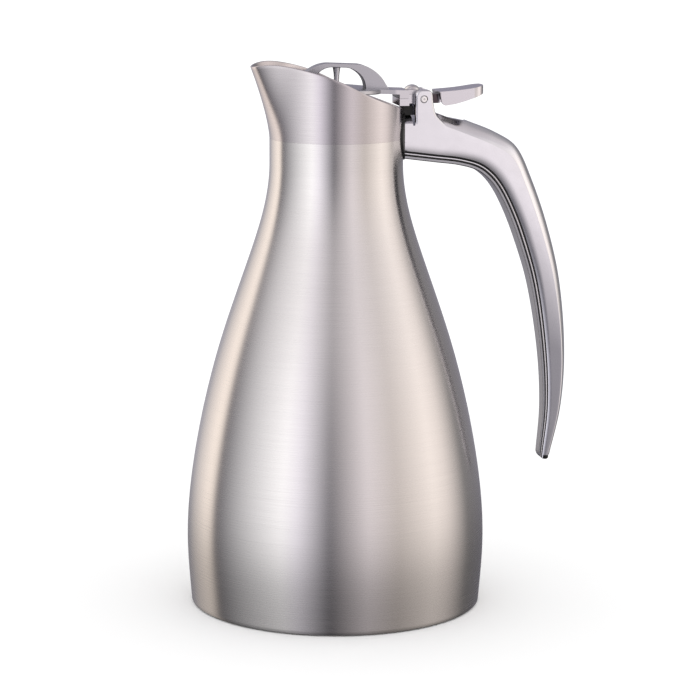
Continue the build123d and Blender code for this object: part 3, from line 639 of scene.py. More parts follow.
def slimness(row):
    """How much narrower than the head in mm, and as a share: 0 at the head, 1 in the lower run."""
    narrower = HANDLE_HALF_W - row[4]
    return narrower, min(1, narrower / SLIM_BY)


def flank(row):
    """Depths where the flank starts, stops rolling and ends, and its sideways place at any depth."""
    narrower, slim = slimness(row)
    edge, tall = EDGE_DEPTH - EDGE_THINS * narrower, depth(row) - row[5]
    foot = FOOT_SHARE * edge
    onset = min(edge + ONSET_AFTER + ONSET_AT_HEAD * (1 - slim), ONSET_MOST * tall)
    bow = SIDE_BOW * (1 - slim) * min(1, max(0, (row[0] - BOW_FROM_X) / BOW_RUN))

    def side(a):
        rolled = ROLL * (onset - foot) * (max(0, onset - a) / (onset - foot)) ** 2
        return row[4] - rolled - END_LEAN * slim * (tall - a) - bow * ((a / tall - BOW_TOP) / BOW_TOP) ** 2

    return foot, onset, tall, side


def joint_at(row):
    """Where the strip ends: depth and sideways."""
    foot, _, _, side = flank(row)
    inset = EDGE_INSET - INSET_THINS * slimness(row)[0]
    return JOINT_DEPTH_SHARE * foot, side(foot) - JOINT_INSET_SHARE * inset


def slope_point(row, share, sunk=0.0):
    """Point on the slope from the strip's edge to the flank, sunk by a share of the slope's length."""
    foot, _, _, side = flank(row)
    start, end = np.array(joint_at(row)), np.array([foot, side(foot)])
    way = end - start
    return start + way * share + np.array([way[1], -way[0]]) * sunk


print("strip's edge at the head:", [round(float(v), 2) for v in joint_at(rows[0])], "mm deep and sideways")

# %% [markdown]
# ## Section of the grip
# A section runs from the channel for the strip over a fine bead and a groove, up the flank and over a
# small crease to the spine. Near the bend the spine is a crown with two flat facets, as a belt leaves it.
# Bead and groove are less than a millimetre wide, yet they draw the light and dark lines along the grip.
# The groove's depth is a share of the slope, so that the section never crosses itself where it is slim.

# %% Section
CHANNEL, CHANNEL_STEP = 3.2, 0.25
BEAD_FROM, BEAD_TO, BEAD_TRIM = 0.36, 0.66, 0.1
GROOVE_TO, GROOVE_SUNK = 0.97, 0.09
CREASE_R, CREASE_SHARE, CREASE_BACK = 0.9, 0.55, 3
FACET, FACET_SKEW, FACET_UNTIL_X, FACET_FADE = 0.5, 0.12, 26, 16


def half_section(row):
    """Right half of the casting's section: channel, bead, groove, flank, crease, spine."""
    foot, onset, tall, side = flank(row)
    near, far = slope_point(row, BEAD_FROM), slope_point(row, BEAD_TO)
    middle, reach = (near + far) / 2, (far - near) / 2
    out = np.array([-reach[1], reach[0]])
    line = [(CHANNEL, 0), (CHANNEL, near[1]), tuple(near + np.array([CHANNEL_STEP, 0]))]
    line += [tuple(middle + out * math.sin(t) - reach * math.cos(t))
             for t in np.linspace(BEAD_TRIM, math.pi - BEAD_TRIM, 9)]
    line += [tuple(slope_point(row, share, GROOVE_SUNK)) for share in (BEAD_TO, GROOVE_TO)]
    line += [(a, side(a)) for a in np.linspace(foot, onset, 9)]
    line += [(a, side(a)) for a in np.linspace(onset, tall - CREASE_R, 8)[1:-1]]
    wide, crown, high = side(tall), row[5], depth(row)
    ball = (wide**2 + crown**2) / (2 * crown)
    facet = FACET * (1 - min(1, max(0, (row[0] - FACET_UNTIL_X) / FACET_FADE)))
    spine = []
    for turn in np.linspace(math.asin(wide / ball), 0, 16):
        a, b = high - ball + ball * math.cos(turn), ball * math.sin(turn)
        weight = math.sin(math.pi * min(1, b / wide + FACET_SKEW) / 2) ** 2
        spine.append((a + facet * (high - crown * b / wide - a) * weight, b))
    below = tall - CREASE_BACK
    line += round_corner((below, side(below)), (tall, wide), spine[2], CREASE_R * CREASE_SHARE, 4)
    return line + spine[2:]


def both_sides(row, right):
    """Half section mirrored to a closed loop and put in space."""
    return placed(row, right + [(a, -b) for a, b in right[-2:0:-1]])


casting = skinned("handle_casting", [both_sides(row, half_section(row)) for row in rows])
print("points in a section:", 2 * len(half_section(rows[0])) - 2)

# %% [markdown]
# ## Cutters
# What a maker takes off the casting is easiest to build as the tool that takes it off: the neck itself
# for the saddle, a bar with flared ends for the countersunk pin hole, and everything below the rounded
# free end. Trimming the casting's own faces instead would leave its skin open.

# %% Cutters for the handle
SADDLE_R, CORE_Z, CLEAR_Y, CLEAR_Z = NECK_R + PAD_T + FIT, (150, 280), 20, 270
# Play of the pin, its countersink, and how far the cutting bar runs on past the ear and widens there.
PIN_PLAY, HOLE_CHAMFER, PAST, FLARE_ON = 0.06, 0.22, 2, 3
END_ARC_AT, END_ARC_R, END_ARC_TURN = (102.2, 68.4), (3.9, 4.9), 1.33 * math.pi
# Seat of the plug behind that arc, then far corners under the grip.
END_SEAT = [(100.3, 65.9), (104.8, 66.4), (112, 67), (112, 50), (90, 50)]
END_FRONT_X = 90


def neck_core(radius):
    """Solid neck that cuts a saddle of that radius."""
    low, high = CORE_Z
    return turned("core", [(0, low), (radius, low), (radius, high), (0, high)], 256)


def pin_hole(r, chamfer, reach, n=48):
    """Bar across the ears that leaves a countersunk hole."""
    half = [(reach - chamfer, r), (reach, r + chamfer), (reach + PAST, r + FLARE_ON * chamfer)]
    stations = [(-y, q) for y, q in half[::-1]] + half
    turns = [2 * math.pi * k / n for k in range(n)]
    return skinned("pin_hole", [[(PIN_X + q * math.cos(t), y, PIN_Z + q * math.sin(t)) for t in turns]
                                for y, q in stations])


def free_end():
    """Everything under the rounded free end of the grip, in side view."""
    (x, z), (wide, high) = END_ARC_AT, END_ARC_R
    arc = [(x + wide * math.cos(a), z + high * math.sin(a)) for a in np.linspace(math.pi, END_ARC_TURN, 12)]
    return prism("free_end", [(END_FRONT_X, z)] + arc + END_SEAT, -CLEAR_Y, CLEAR_Y)


print("saddle radius:", round(SADDLE_R, 2), "mm, free end at z", END_ARC_AT[1] - END_ARC_R[1])

# %% [markdown]
# ## Ears and slots
# The head of the casting carries two ears for the hinge pin and has a slot milled down behind them, which
# runs out in the spine. The ears are added as one block and the slot is cut through it, as a miller
# would. Castings like this are finished on a belt, so a narrow bevel rounds what is still sharp.

# %% Ears and slots
# Outline of an ear from the pin: front edge, top, back edge and the foot that runs out on the spine.
EAR = [(-4.1, -10.4), (-4.1, 4.3), (4.2, 4.3), (4.6, -2.0), (5.6, -7.0), (11.0, -12.8), (11.0, -15.4),
       (-4.1, -15.4)]
EAR_FRONT_R, EAR_TOP_R, EAR_FOOT_R = 3.2, 2.8, 6.0
SLOT_FROM_X, SLOT_RUN, SLOT_DROP, NOTCH_W, NOTCH_DEEP, LAP = 20, 21, 3.2, 1.0, 4.5, 0.01
# Width in mm, least angle in degrees and steps of the rounding.
EAR_SOFT, BELT_SOFT = (1.15, 30, 5), (0.45, 34, 3)
ear_line = [EAR[0]] + round_corner(*EAR[0:3], EAR_FRONT_R, 12) + round_corner(*EAR[1:4], EAR_TOP_R, 12)
ear_line += [EAR[3]] + round_corner(*EAR[3:6], EAR_FOOT_R, 8) + EAR[5:]
ears = prism("ears", [(PIN_X + x, PIN_Z + z) for x, z in ear_line], -HANDLE_HALF_W, HANDLE_HALF_W)
joined(casting, softened(ears, *EAR_SOFT))
slot_end = PIN_X + SLOT_RUN
slot = prism("slot", [(SLOT_FROM_X, HEAD_TOP_Z), (EAR_BACK_X, HEAD_TOP_Z), (slot_end, HEAD_TOP_Z - SLOT_DROP),
                      (slot_end, CLEAR_Z), (SLOT_FROM_X, CLEAR_Z)], -EAR_GAP, EAR_GAP)
across_y, notch_x = (-CLEAR_Y, CLEAR_Y), EAR_FRONT_X - NOTCH_W
notch = slab("notch", (notch_x, EAR_FRONT_X), across_y, (HEAD_TOP_Z - NOTCH_DEEP, CLEAR_Z))
front = slab("front", (0, notch_x + LAP), across_y, (HEAD_TOP_Z, CLEAR_Z))
cut(casting, neck_core(SADDLE_R), front, notch, slot, pin_hole(PIN_R + PIN_PLAY, HOLE_CHAMFER, HANDLE_HALF_W),
    free_end())
shaded(softened(casting, *BELT_SOFT), 34, even=True)
print("handle:", len(casting.data.polygons), "faces")

# %% [markdown]
# ## Inlaid strip, its joint lines and painted groove shade
# A flat steel strip with rounded edges closes the hollow side of the grip. Either side of it runs a dark
# joint line, and under the bead the groove's shade is painted as a second dark line. A dark stripe painted
# on the steel would have no edge of its own, so the lines are thin black bars: the joint lines stand in the
# channel, and the bars of painted shade lie in the groove. Strip and bars follow the handle's own stations
# and are skinned in the same way.

# %% Strip, joint lines and painted groove shade
STRIP_EDGE, STRIP_UP, STRIP_ROWS = 0.55, 0.12, (0.5, 0.4)
BAR_TOP, BAR_FLOOR, BAR_UP = 0.03, 0.085, 0.2
# From and to as shares of the slope, and whether the bar goes down the channel or only into the groove.
# The first bar is the dark joint beside the strip; the second is painted shade in the groove under the bead.
JOINT_AND_GROOVE_SHADE_BARS = ((0.04, BEAD_FROM - 0.03, True), (BEAD_TO + 0.03, 0.95, False))


def strip_section(row):
    """Flat strip with rounded edges to the fingers, let into the channel."""
    half_w, floor = joint_at(row)[1], CHANNEL - STRIP_UP
    right = [(floor, 0), (floor, half_w * STRIP_ROWS[0]), (floor, half_w)]
    right += [(STRIP_EDGE * (1 - math.sin(a)), half_w - STRIP_EDGE * (1 - math.cos(a)))
              for a in np.linspace(0, math.pi / 2, 8)]
    return both_sides(row, right + [(0, half_w * STRIP_ROWS[1]), (0, 0)])


def joint_and_shade_bar_section(row, sign, low, high, deep):
    """Dark bar between two shares of the slope, on the side given by the sign: when deep, the dark joint in
    the channel; else painted shade in the groove under the bead.
    """
    top, end = slope_point(row, low, BAR_TOP), slope_point(row, high, BAR_TOP)
    floor = [slope_point(row, high, BAR_FLOOR), slope_point(row, low, BAR_FLOOR)]
    if deep:
        floor = [(CHANNEL - BAR_UP, end[1]), (CHANNEL - BAR_UP, top[1])]
    return placed(row, [(a, b * sign) for a, b in (top, end, *floor)][::sign])


strip = skinned("grip_strip", [strip_section(row) for row in rows])
joint_and_groove_shade = joined(*[skinned("seal_line", [joint_and_shade_bar_section(row, sign, *bar) for row in rows])
                for sign in (1, -1) for bar in JOINT_AND_GROOVE_SHADE_BARS])
for piece in (strip, joint_and_groove_shade):
    shaded(cut(piece, neck_core(SADDLE_R + FIT), free_end()), 40)
print("strip:", len(strip.data.polygons), "faces, joint lines:", len(joint_and_groove_shade.data.polygons))

# %% [markdown]
# ## End plug
# The free end of the hollow grip is closed by a small black plug with a round head. It is a ball from the
# lathe, stretched to three half lengths, so it shows as a dark tip whatever side one looks from.

# %% End plug
PLUG_AT, PLUG_SIZE = (101.9, 64.95), (1.75, 4.4, 1.5)
ball_line = [(abs(math.sin(a)), -math.cos(a)) for a in np.linspace(0, math.pi, 20)]
plug = turned("grip_end_plug", ball_line, 48)
plug.data.transform(Matrix.Diagonal((*PLUG_SIZE, 1)))
shaded(moved(plug, PLUG_AT[0], 0, PLUG_AT[1]), 50)
print("plug at x", PLUG_AT[0], "z", PLUG_AT[1])

# %% [markdown]
# ## Hinge pin
# A plain ground pin is pressed through the ears. Its ends are chamfered and carry the small centre mark
# of the lathe, which catches the light as a dot inside a ring.

# %% Hinge pin
PIN_END = HANDLE_HALF_W - 0.1
# Radius and how far under the pin's end: centre mark, flat ring, chamfer.
PIN_PROFILE = [(0, 0.32), (0.22, 0.3), (0.42, 0.02), (0.5, 0), (PIN_R - 0.32, 0), (PIN_R - 0.2, 0.04),
               (PIN_R, 0.3)]


def cross_turned(name, outline):
    """Lathe work about the hinge axis: the outline's heights run along Y."""
    piece = turned(name, outline, 64)
    tip = Matrix.Translation((PIN_X * MM, 0, PIN_Z * MM)) @ Matrix.Rotation(math.radians(90), 4, "X")
    piece.data.transform(tip)
    return piece


half_pin = [(r, PIN_END - under) for r, under in PIN_PROFILE]
pin = shaded(cross_turned("hinge_pin_turned", half_pin + [(r, -y) for r, y in half_pin[::-1]]), 40)
print("pin length:", 2 * PIN_END, "mm")

# %% [markdown]
# ## Arch over the lid
# The lid is one casting. Its arch and the window under it are smooth lines in side view, so each is drawn
# as two splines with a level top between them, and the band between the two lines is pushed sideways. A
# curve with a bevel would give a rod of even thickness, but this band is thinnest at the top.

# %% Arch
ARCH_TOP, WINDOW_TOP, ARCH_HALF_W, ROOT_Z, ARCH_SOFT = 10.9, 9.1, 3.4, -0.5, (0.9, 40, 4)
# Points from the spout side over the top to the handle side, with the directions at both ends.
ARCH = [(((-20.0, ROOT_Z), (-17.6, 3.8), (-13.4, 7.7), (-8.8, 10.1), (-4.0, ARCH_TOP)), (0.25, 1), (1, 0)),
        (((9.0, ARCH_TOP), (13.0, 10.1), (17.5, 7.7), (21.2, 4.2), (24.6, ROOT_Z)), (1, 0), (1, -1))]
WINDOW = [(((-12.4, ROOT_Z), (-11.0, 3.8), (-8.6, 6.8), (-5.6, 8.6), (-1.5, WINDOW_TOP)), (0.2, 1), (1, 0)),
          (((3.5, WINDOW_TOP), (7.2, 8.1), (10.4, 5.9), (12.5, 2.6), (13.1, ROOT_Z)), (1, 0), (0.1, -1))]
over, through = ([p for knots, start, end in half for p in smooth_line(knots, steps, start, end)]
                 for half, steps in ((ARCH, 30), (WINDOW, 24)))
arch = prism("lid_casting", [(x, LID_TOP_Z + z) for x, z in over + through[::-1]], -ARCH_HALF_W, ARCH_HALF_W)
softened(arch, *ARCH_SOFT)
print("arch:", len(arch.data.polygons), "faces,", round(ARCH_TOP - WINDOW_TOP, 1), "mm thick at the top")

# %% [markdown]
# ## Plate, strap and cross block
# Under the arch lies the round plate. A strap runs back from it to the hinge, where it narrows between
# the ears and a cross block hangs under it. Everything is drawn level, joined and then tipped by the
# small slope of the lid; only the block stays upright, so it is added after that.

# %% Plate, strap and cross block
PLATE_R, PLATE_T, PLATE_LOW_EDGE, PLATE_TOP_EDGE, PLATE_EDGE_MID = 21.0, 2.0, 0.3, 0.6, 0.18
KNUCKLE_X, KNUCKLE_SPLIT_Z, KNUCKLE_LOW_Z = (PIN_X - 11.5, EAR_FRONT_X - 2.9), PIN_Z + 0.4, HEAD_TOP_Z + 4.7
STRAP_FROM_X, STRAP_END_X, TAIL_HALF_W, OVERLAP = 6, EAR_FRONT_X + 2.4, EAR_GAP - 0.3, 1
LID_SOFT = (0.5, 50, 3)


def leaned(piece):
    """Tip a level lid piece down towards the hinge."""
    up, tip = Matrix.Translation((0, 0, LID_TOP_Z * MM)), Matrix.Rotation(math.radians(LID_SLOPE), 4, "Y")
    piece.data.transform(up @ tip @ Matrix.Translation((0, 0, -LID_TOP_Z * MM)))
    return piece


low_z, top_z, whole_y = LID_TOP_Z - PLATE_T, LID_TOP_Z, (-HANDLE_HALF_W, HANDLE_HALF_W)
plate_edge = [(PLATE_R - PLATE_LOW_EDGE, low_z), (PLATE_R, low_z + PLATE_LOW_EDGE),
              (PLATE_R, top_z - PLATE_TOP_EDGE), (PLATE_R - PLATE_EDGE_MID, top_z - PLATE_EDGE_MID),
              (PLATE_R - PLATE_TOP_EDGE, top_z)]
plate = turned("plate", [(0, low_z)] + plate_edge + [(0, top_z)], 160)
strap = slab("strap", (STRAP_FROM_X, KNUCKLE_X[1]), whole_y, (low_z, top_z))
tail = slab("tail", (KNUCKLE_X[1] - OVERLAP, STRAP_END_X), (-TAIL_HALF_W, TAIL_HALF_W), (low_z, top_z))
leaned(joined(arch, plate, strap, tail))
under_z = LID_TOP_Z - PLATE_T - KNUCKLE_X[1] * math.tan(math.radians(LID_SLOPE))
joined(arch, slab("knuckle", KNUCKLE_X, whole_y, (KNUCKLE_SPLIT_Z + FIT, under_z + OVERLAP / 2)))
shaded(softened(arch, *LID_SOFT), 36, even=True)
print("lid casting:", len(arch.data.polygons), "faces")

# %% [markdown]
# ## Thumb rest
# The thumb rest is the lever's broad end. In side view it has a curved top and belly, seen from above it
# has two rounded corners, so it is what two outlines share: one pushed sideways, one pushed upwards.
# It is cast hollow from below to save weight, with a throat open to the hinge.

# %% Thumb rest
REST_FRONT, REST_END, REST_CORNER_R, WALL, ROOM_CORNER_R, THROAT_TOP = 7.3, 29.2, 6.0, 1.4, 4.6, -0.4
DOWN, THROAT_LAP, REST_SOFT = -15, 0.1, (1.25, 40, 5)
# Side view from the pin: the top, the belly back to a step, and the near corner under the front.
REST_TOP = [(REST_FRONT, 3.4), (14.4, 3.9), (22.4, 4.8), (REST_END, 6.0)]
REST_BELLY = [(REST_END, 2.2), (26.4, 1.2), (20.4, -0.8), (14.4, -2.4), (9.0, -3.1)]
NEAR_CORNER, NEAR_CORNER_R, BELLY_UNTIL = ((14.4, -2.6), (8.8, -3.2)), 2.2, 11.5


def rounded_plan(name, near_x, corner_from_x, half_w, far_x, radius, steps):
    """Plan with its two far corners rounded, pushed up through everything."""
    corner = round_corner((corner_from_x, -half_w), (far_x, -half_w), (far_x, 0), radius, steps)
    plan = [(near_x, -half_w)] + corner
    return prism(name, plan + [(x, -y) for x, y in plan[::-1]], -CLEAR_Y, CLEAR_Y, side_view=False)


over_line = smooth_line(REST_TOP, 30)
under_line = [p for p in smooth_line(REST_BELLY, 30) if p[0] > BELLY_UNTIL]
under_line += round_corner(*NEAR_CORNER, over_line[0], NEAR_CORNER_R, 8)
rest = prism("thumb_rest", over_line + under_line, *whole_y)
shared(rest, rounded_plan("plan", REST_FRONT, REST_FRONT, HANDLE_HALF_W, REST_END, REST_CORNER_R, 16))
softened(rest, *REST_SOFT)
room_half_w = HANDLE_HALF_W - WALL
roof = [(x, z - WALL) for x, z in over_line]
room = prism("room", roof + [(REST_END, DOWN), (REST_FRONT, DOWN)], *whole_y)
shared(room, rounded_plan("room_plan", REST_FRONT + WALL, 0, room_half_w, REST_END - WALL, ROOM_CORNER_R, 12))
throat = slab("throat", (0, REST_FRONT + WALL + THROAT_LAP), (-room_half_w, room_half_w), (DOWN, THROAT_TOP))
moved(cut(rest, room, throat), PIN_X, 0, PIN_Z)
print("thumb rest:", round(REST_END - REST_FRONT, 1), "mm long, walls", WALL, "mm")

# %% [markdown]
# ## Lever on the pin
# In front of the pin the lever has the lower half of the cross block, and between the ears an eye and a
# tongue. They are joined to the thumb rest, bored for the pin and rounded as one casting.

# %% Lever
EYE_R, TONGUE_LOW, TONGUE_TOP, LEVER_SOFT = 4.0, -2.2, 2.0, (0.4, 50, 3)
TRIM_X = (10, STRAP_END_X + 0.2)


def above_strap_line(x_low, x_high, gap):
    """Everything over the sloping underside of the strap, less a gap."""
    low = [(x, LID_TOP_Z - PLATE_T - x * math.tan(math.radians(LID_SLOPE)) - gap) for x in (x_low, x_high)]
    return prism("above", low + [(x_high, CORE_Z[1]), (x_low, CORE_Z[1])], -CLEAR_Y, CLEAR_Y)


def cross_disc(name, radius, half_w):
    return cross_turned(name, [(0, -half_w), (radius, -half_w), (radius, half_w), (0, half_w)])


tongue = slab("tongue", (KNUCKLE_X[1] - OVERLAP, PIN_X + REST_FRONT + OVERLAP), (-TAIL_HALF_W, TAIL_HALF_W),
              (PIN_Z + TONGUE_LOW, PIN_Z + TONGUE_TOP))
joined(tongue, cross_disc("eye", EYE_R, TAIL_HALF_W))
cut(tongue, above_strap_line(*TRIM_X, FIT))
joined(tongue, slab("lower_knuckle", KNUCKLE_X, whole_y, (KNUCKLE_LOW_Z, KNUCKLE_SPLIT_Z - FIT)))
lever = cut(joined(rest, tongue), cross_disc("bore", PIN_R + FIT, CLEAR_Y))
shaded(softened(lever, *LEVER_SOFT), 36, even=True)
lever.name = "thumb_lever_casting"
print("lever:", len(lever.data.polygons), "faces")

# %% [markdown]
# ## Screw and post
# A low polished dome clamps the strap on the lever. Under the arch stands the slim post that carries the
# stopper. It flares where it enters the arch. Both are turned parts, so the lathe makes them.

# %% Screw and post
SCREW_X, DOME_R, DOME_RISE, DOME_LIFT, DOME_RIM, SHANK_R = EAR_FRONT_X + 0.2, 3.8, 2.3, 0.05, (0.1, 0.2), 1.5
SHANK_LOW_Z, SHANK_TOP_Z = PIN_Z - 1.0, PIN_Z + 4.6
POST_LOW_Z, POST_TOP_Z, SHOULDER_Z = 199.0, LID_TOP_Z + WINDOW_TOP - 0.2, LID_TOP_Z - PLATE_T - 1.2
# Where the dome's round begins, as a share of its whole angle: just inside the rim.
DOME_FROM = 0.97
# Radius and height of the post: from its lower end, then from its shoulder, then from the arch.
POST_FOOT, POST_SHOULDER = [(0, 0), (1.8, 0), (2.0, 0.2)], [(2.0, -1), (1.25, 0)]
POST_FLARE = [(1.2, -6), (1.3, -3.6), (1.55, -1.5), (1.8, 0), (1.25, 0), (1.25, 0.9), (0, 0.9)]
ball = (DOME_R**2 + DOME_RISE**2) / (2 * DOME_RISE)
dome = [(0, DOME_LIFT), (DOME_R - DOME_RIM[0], DOME_LIFT), (DOME_R, DOME_RIM[1])]
dome += [(ball * math.sin(a), DOME_RISE - ball + ball * math.cos(a))
         for a in np.linspace(math.asin(DOME_R / ball) * DOME_FROM, 0, 16)]
screw = leaned(moved(turned("clamp_screw", dome, 64), SCREW_X, 0, LID_TOP_Z))
shank = turned("shank", [(r, z) for z, way in ((SHANK_LOW_Z, 1), (SHANK_TOP_Z, -1))
                         for r in (0, SHANK_R)[::way]], 32)
shaded(joined(screw, moved(shank, SCREW_X, 0, 0)), 40)
post_line = [(r, from_z + z) for from_z, part in ((POST_LOW_Z, POST_FOOT), (SHOULDER_Z, POST_SHOULDER),
                                                  (POST_TOP_Z, POST_FLARE)) for r, z in part]
post = shaded(turned("lid_post", post_line, 64), 30)
print("dome rises", DOME_RISE, "mm; post stands", round(POST_TOP_Z - POST_LOW_Z, 1), "mm tall")

# %% [markdown]
# ## Cast and moulded finishes
# A casting has no direction of brushing. It is ground on a belt and buffed, so it mirrors its
# surroundings softly, with a faint unevenness of about a millimetre. Rubber, silicone and foam keep the
# grain of their mould. All of them are the shader plus one pattern of noise on the piece's own place.

# %% Cast and moulded finishes
# Size of the unevenness, how deep it is drawn, and how strongly. Buffing leaves far less than this depth.
CAST_GRAIN_MM, CAST_DEEP_MM, MOULD_DEEP_MM, CAST_STRENGTH = 1.2, 0.4, 0.2, 0.008
CAST_NOISE, CAST_BLUR = (0.35, 0.65), (0.03, 0.04)
# The widest swell on a casting is four grains wide and on a moulding two; finer layers lie over it.
CAST_GRAINS, CAST_LAYERS = 4, {"Detail": 4.0, "Roughness": 0.55}
MOULD_GRAINS, MOULD_LAYERS = 2, {"Detail": 2.0}


def satin_cast(name, colour, roughness, strength=CAST_STRENGTH):
    """Cast steel, belt-finished and buffed: a soft sheen with faint unevenness."""
    material, tree, shader, where = finish(name, colour, 1.0, roughness)
    roughen(tree, shader, where.outputs["Object"], noise_scale(CAST_GRAIN_MM, CAST_GRAINS), strength,
            CAST_DEEP_MM, (*CAST_NOISE, roughness - CAST_BLUR[0], roughness + CAST_BLUR[1]), **CAST_LAYERS)
    return material


def grained(name, colour, metallic, roughness, grain_mm, strength, **more):
    """Moulded or sintered stuff with an even fine grain."""
    material, tree, shader, where = finish(name, colour, metallic, roughness, **more)
    roughen(tree, shader, where.outputs["Object"], noise_scale(grain_mm, MOULD_GRAINS), strength,
            MOULD_DEEP_MM, **MOULD_LAYERS)
    return material


# Buffed casting: mirrors the panels with soft borders.
handle_steel = satin_cast("buffed_cast_stainless", "#d4d4d9", 0.15)
# Rolled strip, satin and a shade darker, so that the joint lines beside it read.
strip_steel = satin_cast("satin_strip_stainless", "#a0a1a6", 0.30, strength=0.002)
# Fine-turned post: bright but with no clear reflection.
post_steel = satin_cast("satin_turned_stainless", "#d4d4da", 0.45)
# Pin and screws from the polishing drum: small sharp highlights.
polished_steel = satin_cast("polished_stainless", "#dddcdc", 0.07, strength=0.01)
# Moulded rubber: nearly black, with a dull sheen only at grazing angles.
black_rubber = grained("moulded_black_rubber", "#0c0c0d", 0.0, 0.55, 0.6, 0.2)
# Silicone lets a little light in, which softens its shadows.
silicone = grained("grey_silicone", "#b9b8b2", 0.0, 0.45, 0.8, 0.1, Subsurface_Weight=0.1)
# Foam set in its shell: chalky, with small pores.
stopper_foam = grained("rigid_white_foam", "#e2ddd0", 0.0, 0.85, 1.0, 0.6)
# Pressed and sintered powder: a dull, granular metal.
getter_alloy = grained("sintered_getter_alloy", "#6c6c70", 0.8, 0.6, 0.5, 0.5)
print("finishes so far:", len(bpy.data.materials))

# %% [markdown]
# ## Lid and lever: satin, buffed, with painted shade
# A belt and a buffing wheel only reach what stands out. The lid's plate and arch are satin and its strap is
# buffed. The faces of the window and the block that look inwards get a painted shade, near black, for the
# shadow that falls there. On the lever a painted shade darkens the recess between the ears and the thumb
# rest. One could split each casting into several pieces, but it is one piece of metal, so its finish and
# its painted shade change over the object's own place and direction.

# %% Lid and lever castings
# Satin, buffed, a near-black painted shade for the lid's inward faces, and a painted shade for the lever's
# recess.
SATIN, BUFFED, LID_PAINTED_SHADE, IN_SHADE = "#a8a8ae", "#c6c4c9", "#161618", "#4a4246"
STRAP_BUFFED_X, INWARD, LID_GRAIN_MM = (25.5, 27.0), (-0.8, -2.0), 1.0
# The lever's recess, darkened with painted shade, from the pin: where it begins, where it ends towards the
# rest, and its upper end.
RECESS_X, RECESS_END_X, RECESS_TOP_Z = (4.2, 4.6), (8.2, 7.4), (3.4, 2.8)


def span(mm, origin=0.0):
    """Where a share starts and is full, in metres, as the two range sockets of a node."""
    return {"_1": (origin + mm[0]) * MM, "_2": (origin + mm[1]) * MM}


def lid_steel_and_painted_shade():
    """Satin with a buffed strap, and a near-black painted shade where a face looks towards the jug's axis."""
    material, tree, shader, where = finish("satin_buffed_lid_stainless_with_painted_shade", SATIN, 1.0, 0.25)
    place = add(tree, "ShaderNodeSeparateXYZ", links={0: where.outputs["Object"]})
    facing = add(tree, "ShaderNodeSeparateXYZ", links={0: where.outputs["Normal"]})
    on_strap = add(tree, "ShaderNodeMapRange", links={0: place.outputs["X"]}, **span(STRAP_BUFFED_X))
    inward = add(tree, "ShaderNodeMath", {"operation": "MULTIPLY"},
                 {0: place.outputs["X"], 1: facing.outputs["X"]})
    # Painted shade: a face that looks towards the jug's axis turns near black, for the shadow in the window
    # and on the block.
    painted_shade_mask = add(tree, "ShaderNodeMapRange", links={0: inward}, **span(INWARD))
    buffed = add(tree, "ShaderNodeMix", {"data_type": "RGBA"}, {0: on_strap},
                 _6=linear(SATIN), _7=linear(BUFFED))
    with_painted_shade = add(tree, "ShaderNodeMix", {"data_type": "RGBA"}, {0: painted_shade_mask, 6: buffed.outputs[2]},
               _7=linear(LID_PAINTED_SHADE))
    tree.links.new(with_painted_shade.outputs[2], shader.inputs["Base Color"])
    roughen(tree, shader, where.outputs["Object"], noise_scale(LID_GRAIN_MM, CAST_GRAINS), CAST_STRENGTH,
            CAST_DEEP_MM, **CAST_LAYERS)
    return material


def lever_steel_and_painted_shade():
    """Buffed where the belt reaches, with painted shade between the ears and the thumb rest."""
    material, tree, shader, where = finish("buffed_lever_stainless_with_painted_shade", BUFFED, 1.0, 0.16)
    place = add(tree, "ShaderNodeSeparateXYZ", links={0: where.outputs["Object"]}).outputs
    # Painted shade: the box between the back of the ears and the thumb rest, under the rest's top, takes the
    # shade colour.
    behind_ear = add(tree, "ShaderNodeMapRange", links={0: place["X"]}, **span(RECESS_X, PIN_X))
    before_rest = add(tree, "ShaderNodeMapRange", links={0: place["X"]}, **span(RECESS_END_X, PIN_X))
    under_top = add(tree, "ShaderNodeMapRange", links={0: place["Z"]}, **span(RECESS_TOP_Z, PIN_Z))
    along = add(tree, "ShaderNodeMath", {"operation": "MULTIPLY"}, {0: behind_ear, 1: before_rest})
    painted_shade_zone = add(tree, "ShaderNodeMath", {"operation": "MULTIPLY"}, {0: along, 1: under_top})
    colour = add(tree, "ShaderNodeMix", {"data_type": "RGBA"}, {0: painted_shade_zone},
                 _6=linear(BUFFED), _7=linear(IN_SHADE))
    tree.links.new(colour.outputs[2], shader.inputs["Base Color"])
    return material


lid_steel, lever_finish_and_shade = lid_steel_and_painted_shade(), lever_steel_and_painted_shade()
print("finishes:", len(bpy.data.materials))

# %% [markdown]
# ## Who wears what, and what moves with what
# Each finer piece stands for its solid and rides on the same body. The pieces inside the jug keep their
# solids and get a finish of their own.

# %% Dress the parts
def put(piece, material):
    piece.data.materials.clear()
    piece.data.materials.append(material)
    for face in piece.data.polygons:
        face.material_index = 0


dressed = [
    (body, "outer_shell", "jug", shell_steel, "shell_steel"),
    (collar, "pouring_collar", "jug", collar_steel, "collar_steel"),
    (casting, "handle", "jug", handle_steel, "handle_steel"),
    (strip, "handle_strip", "jug", strip_steel, "strip_steel"),
    # The black bars: the ones by the strip are a dark joint, the ones in the groove are painted shade.
    (joint_and_groove_shade, "handle_strip", "jug", black_rubber, "black_rubber"),
    (plug, "handle_tip_plug", "jug", black_rubber, "black_rubber"),
    (pin, "hinge_pin", "jug", polished_steel, "polished_steel"),
    (arch, "lid_bridge", "lid", lid_steel, "lid_steel"),
    (lever, "thumb_lever", "lid", lever_finish_and_shade, "lid_steel"),
    (screw, "lever_screw", "lid", polished_steel, "polished_steel"),
    (post, "centre_post", "lid", post_steel, "polished_steel"),
]
for piece, node, rider, material, slot_name in dressed:
    put(piece, material)
    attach(piece, rider)
    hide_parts(node)
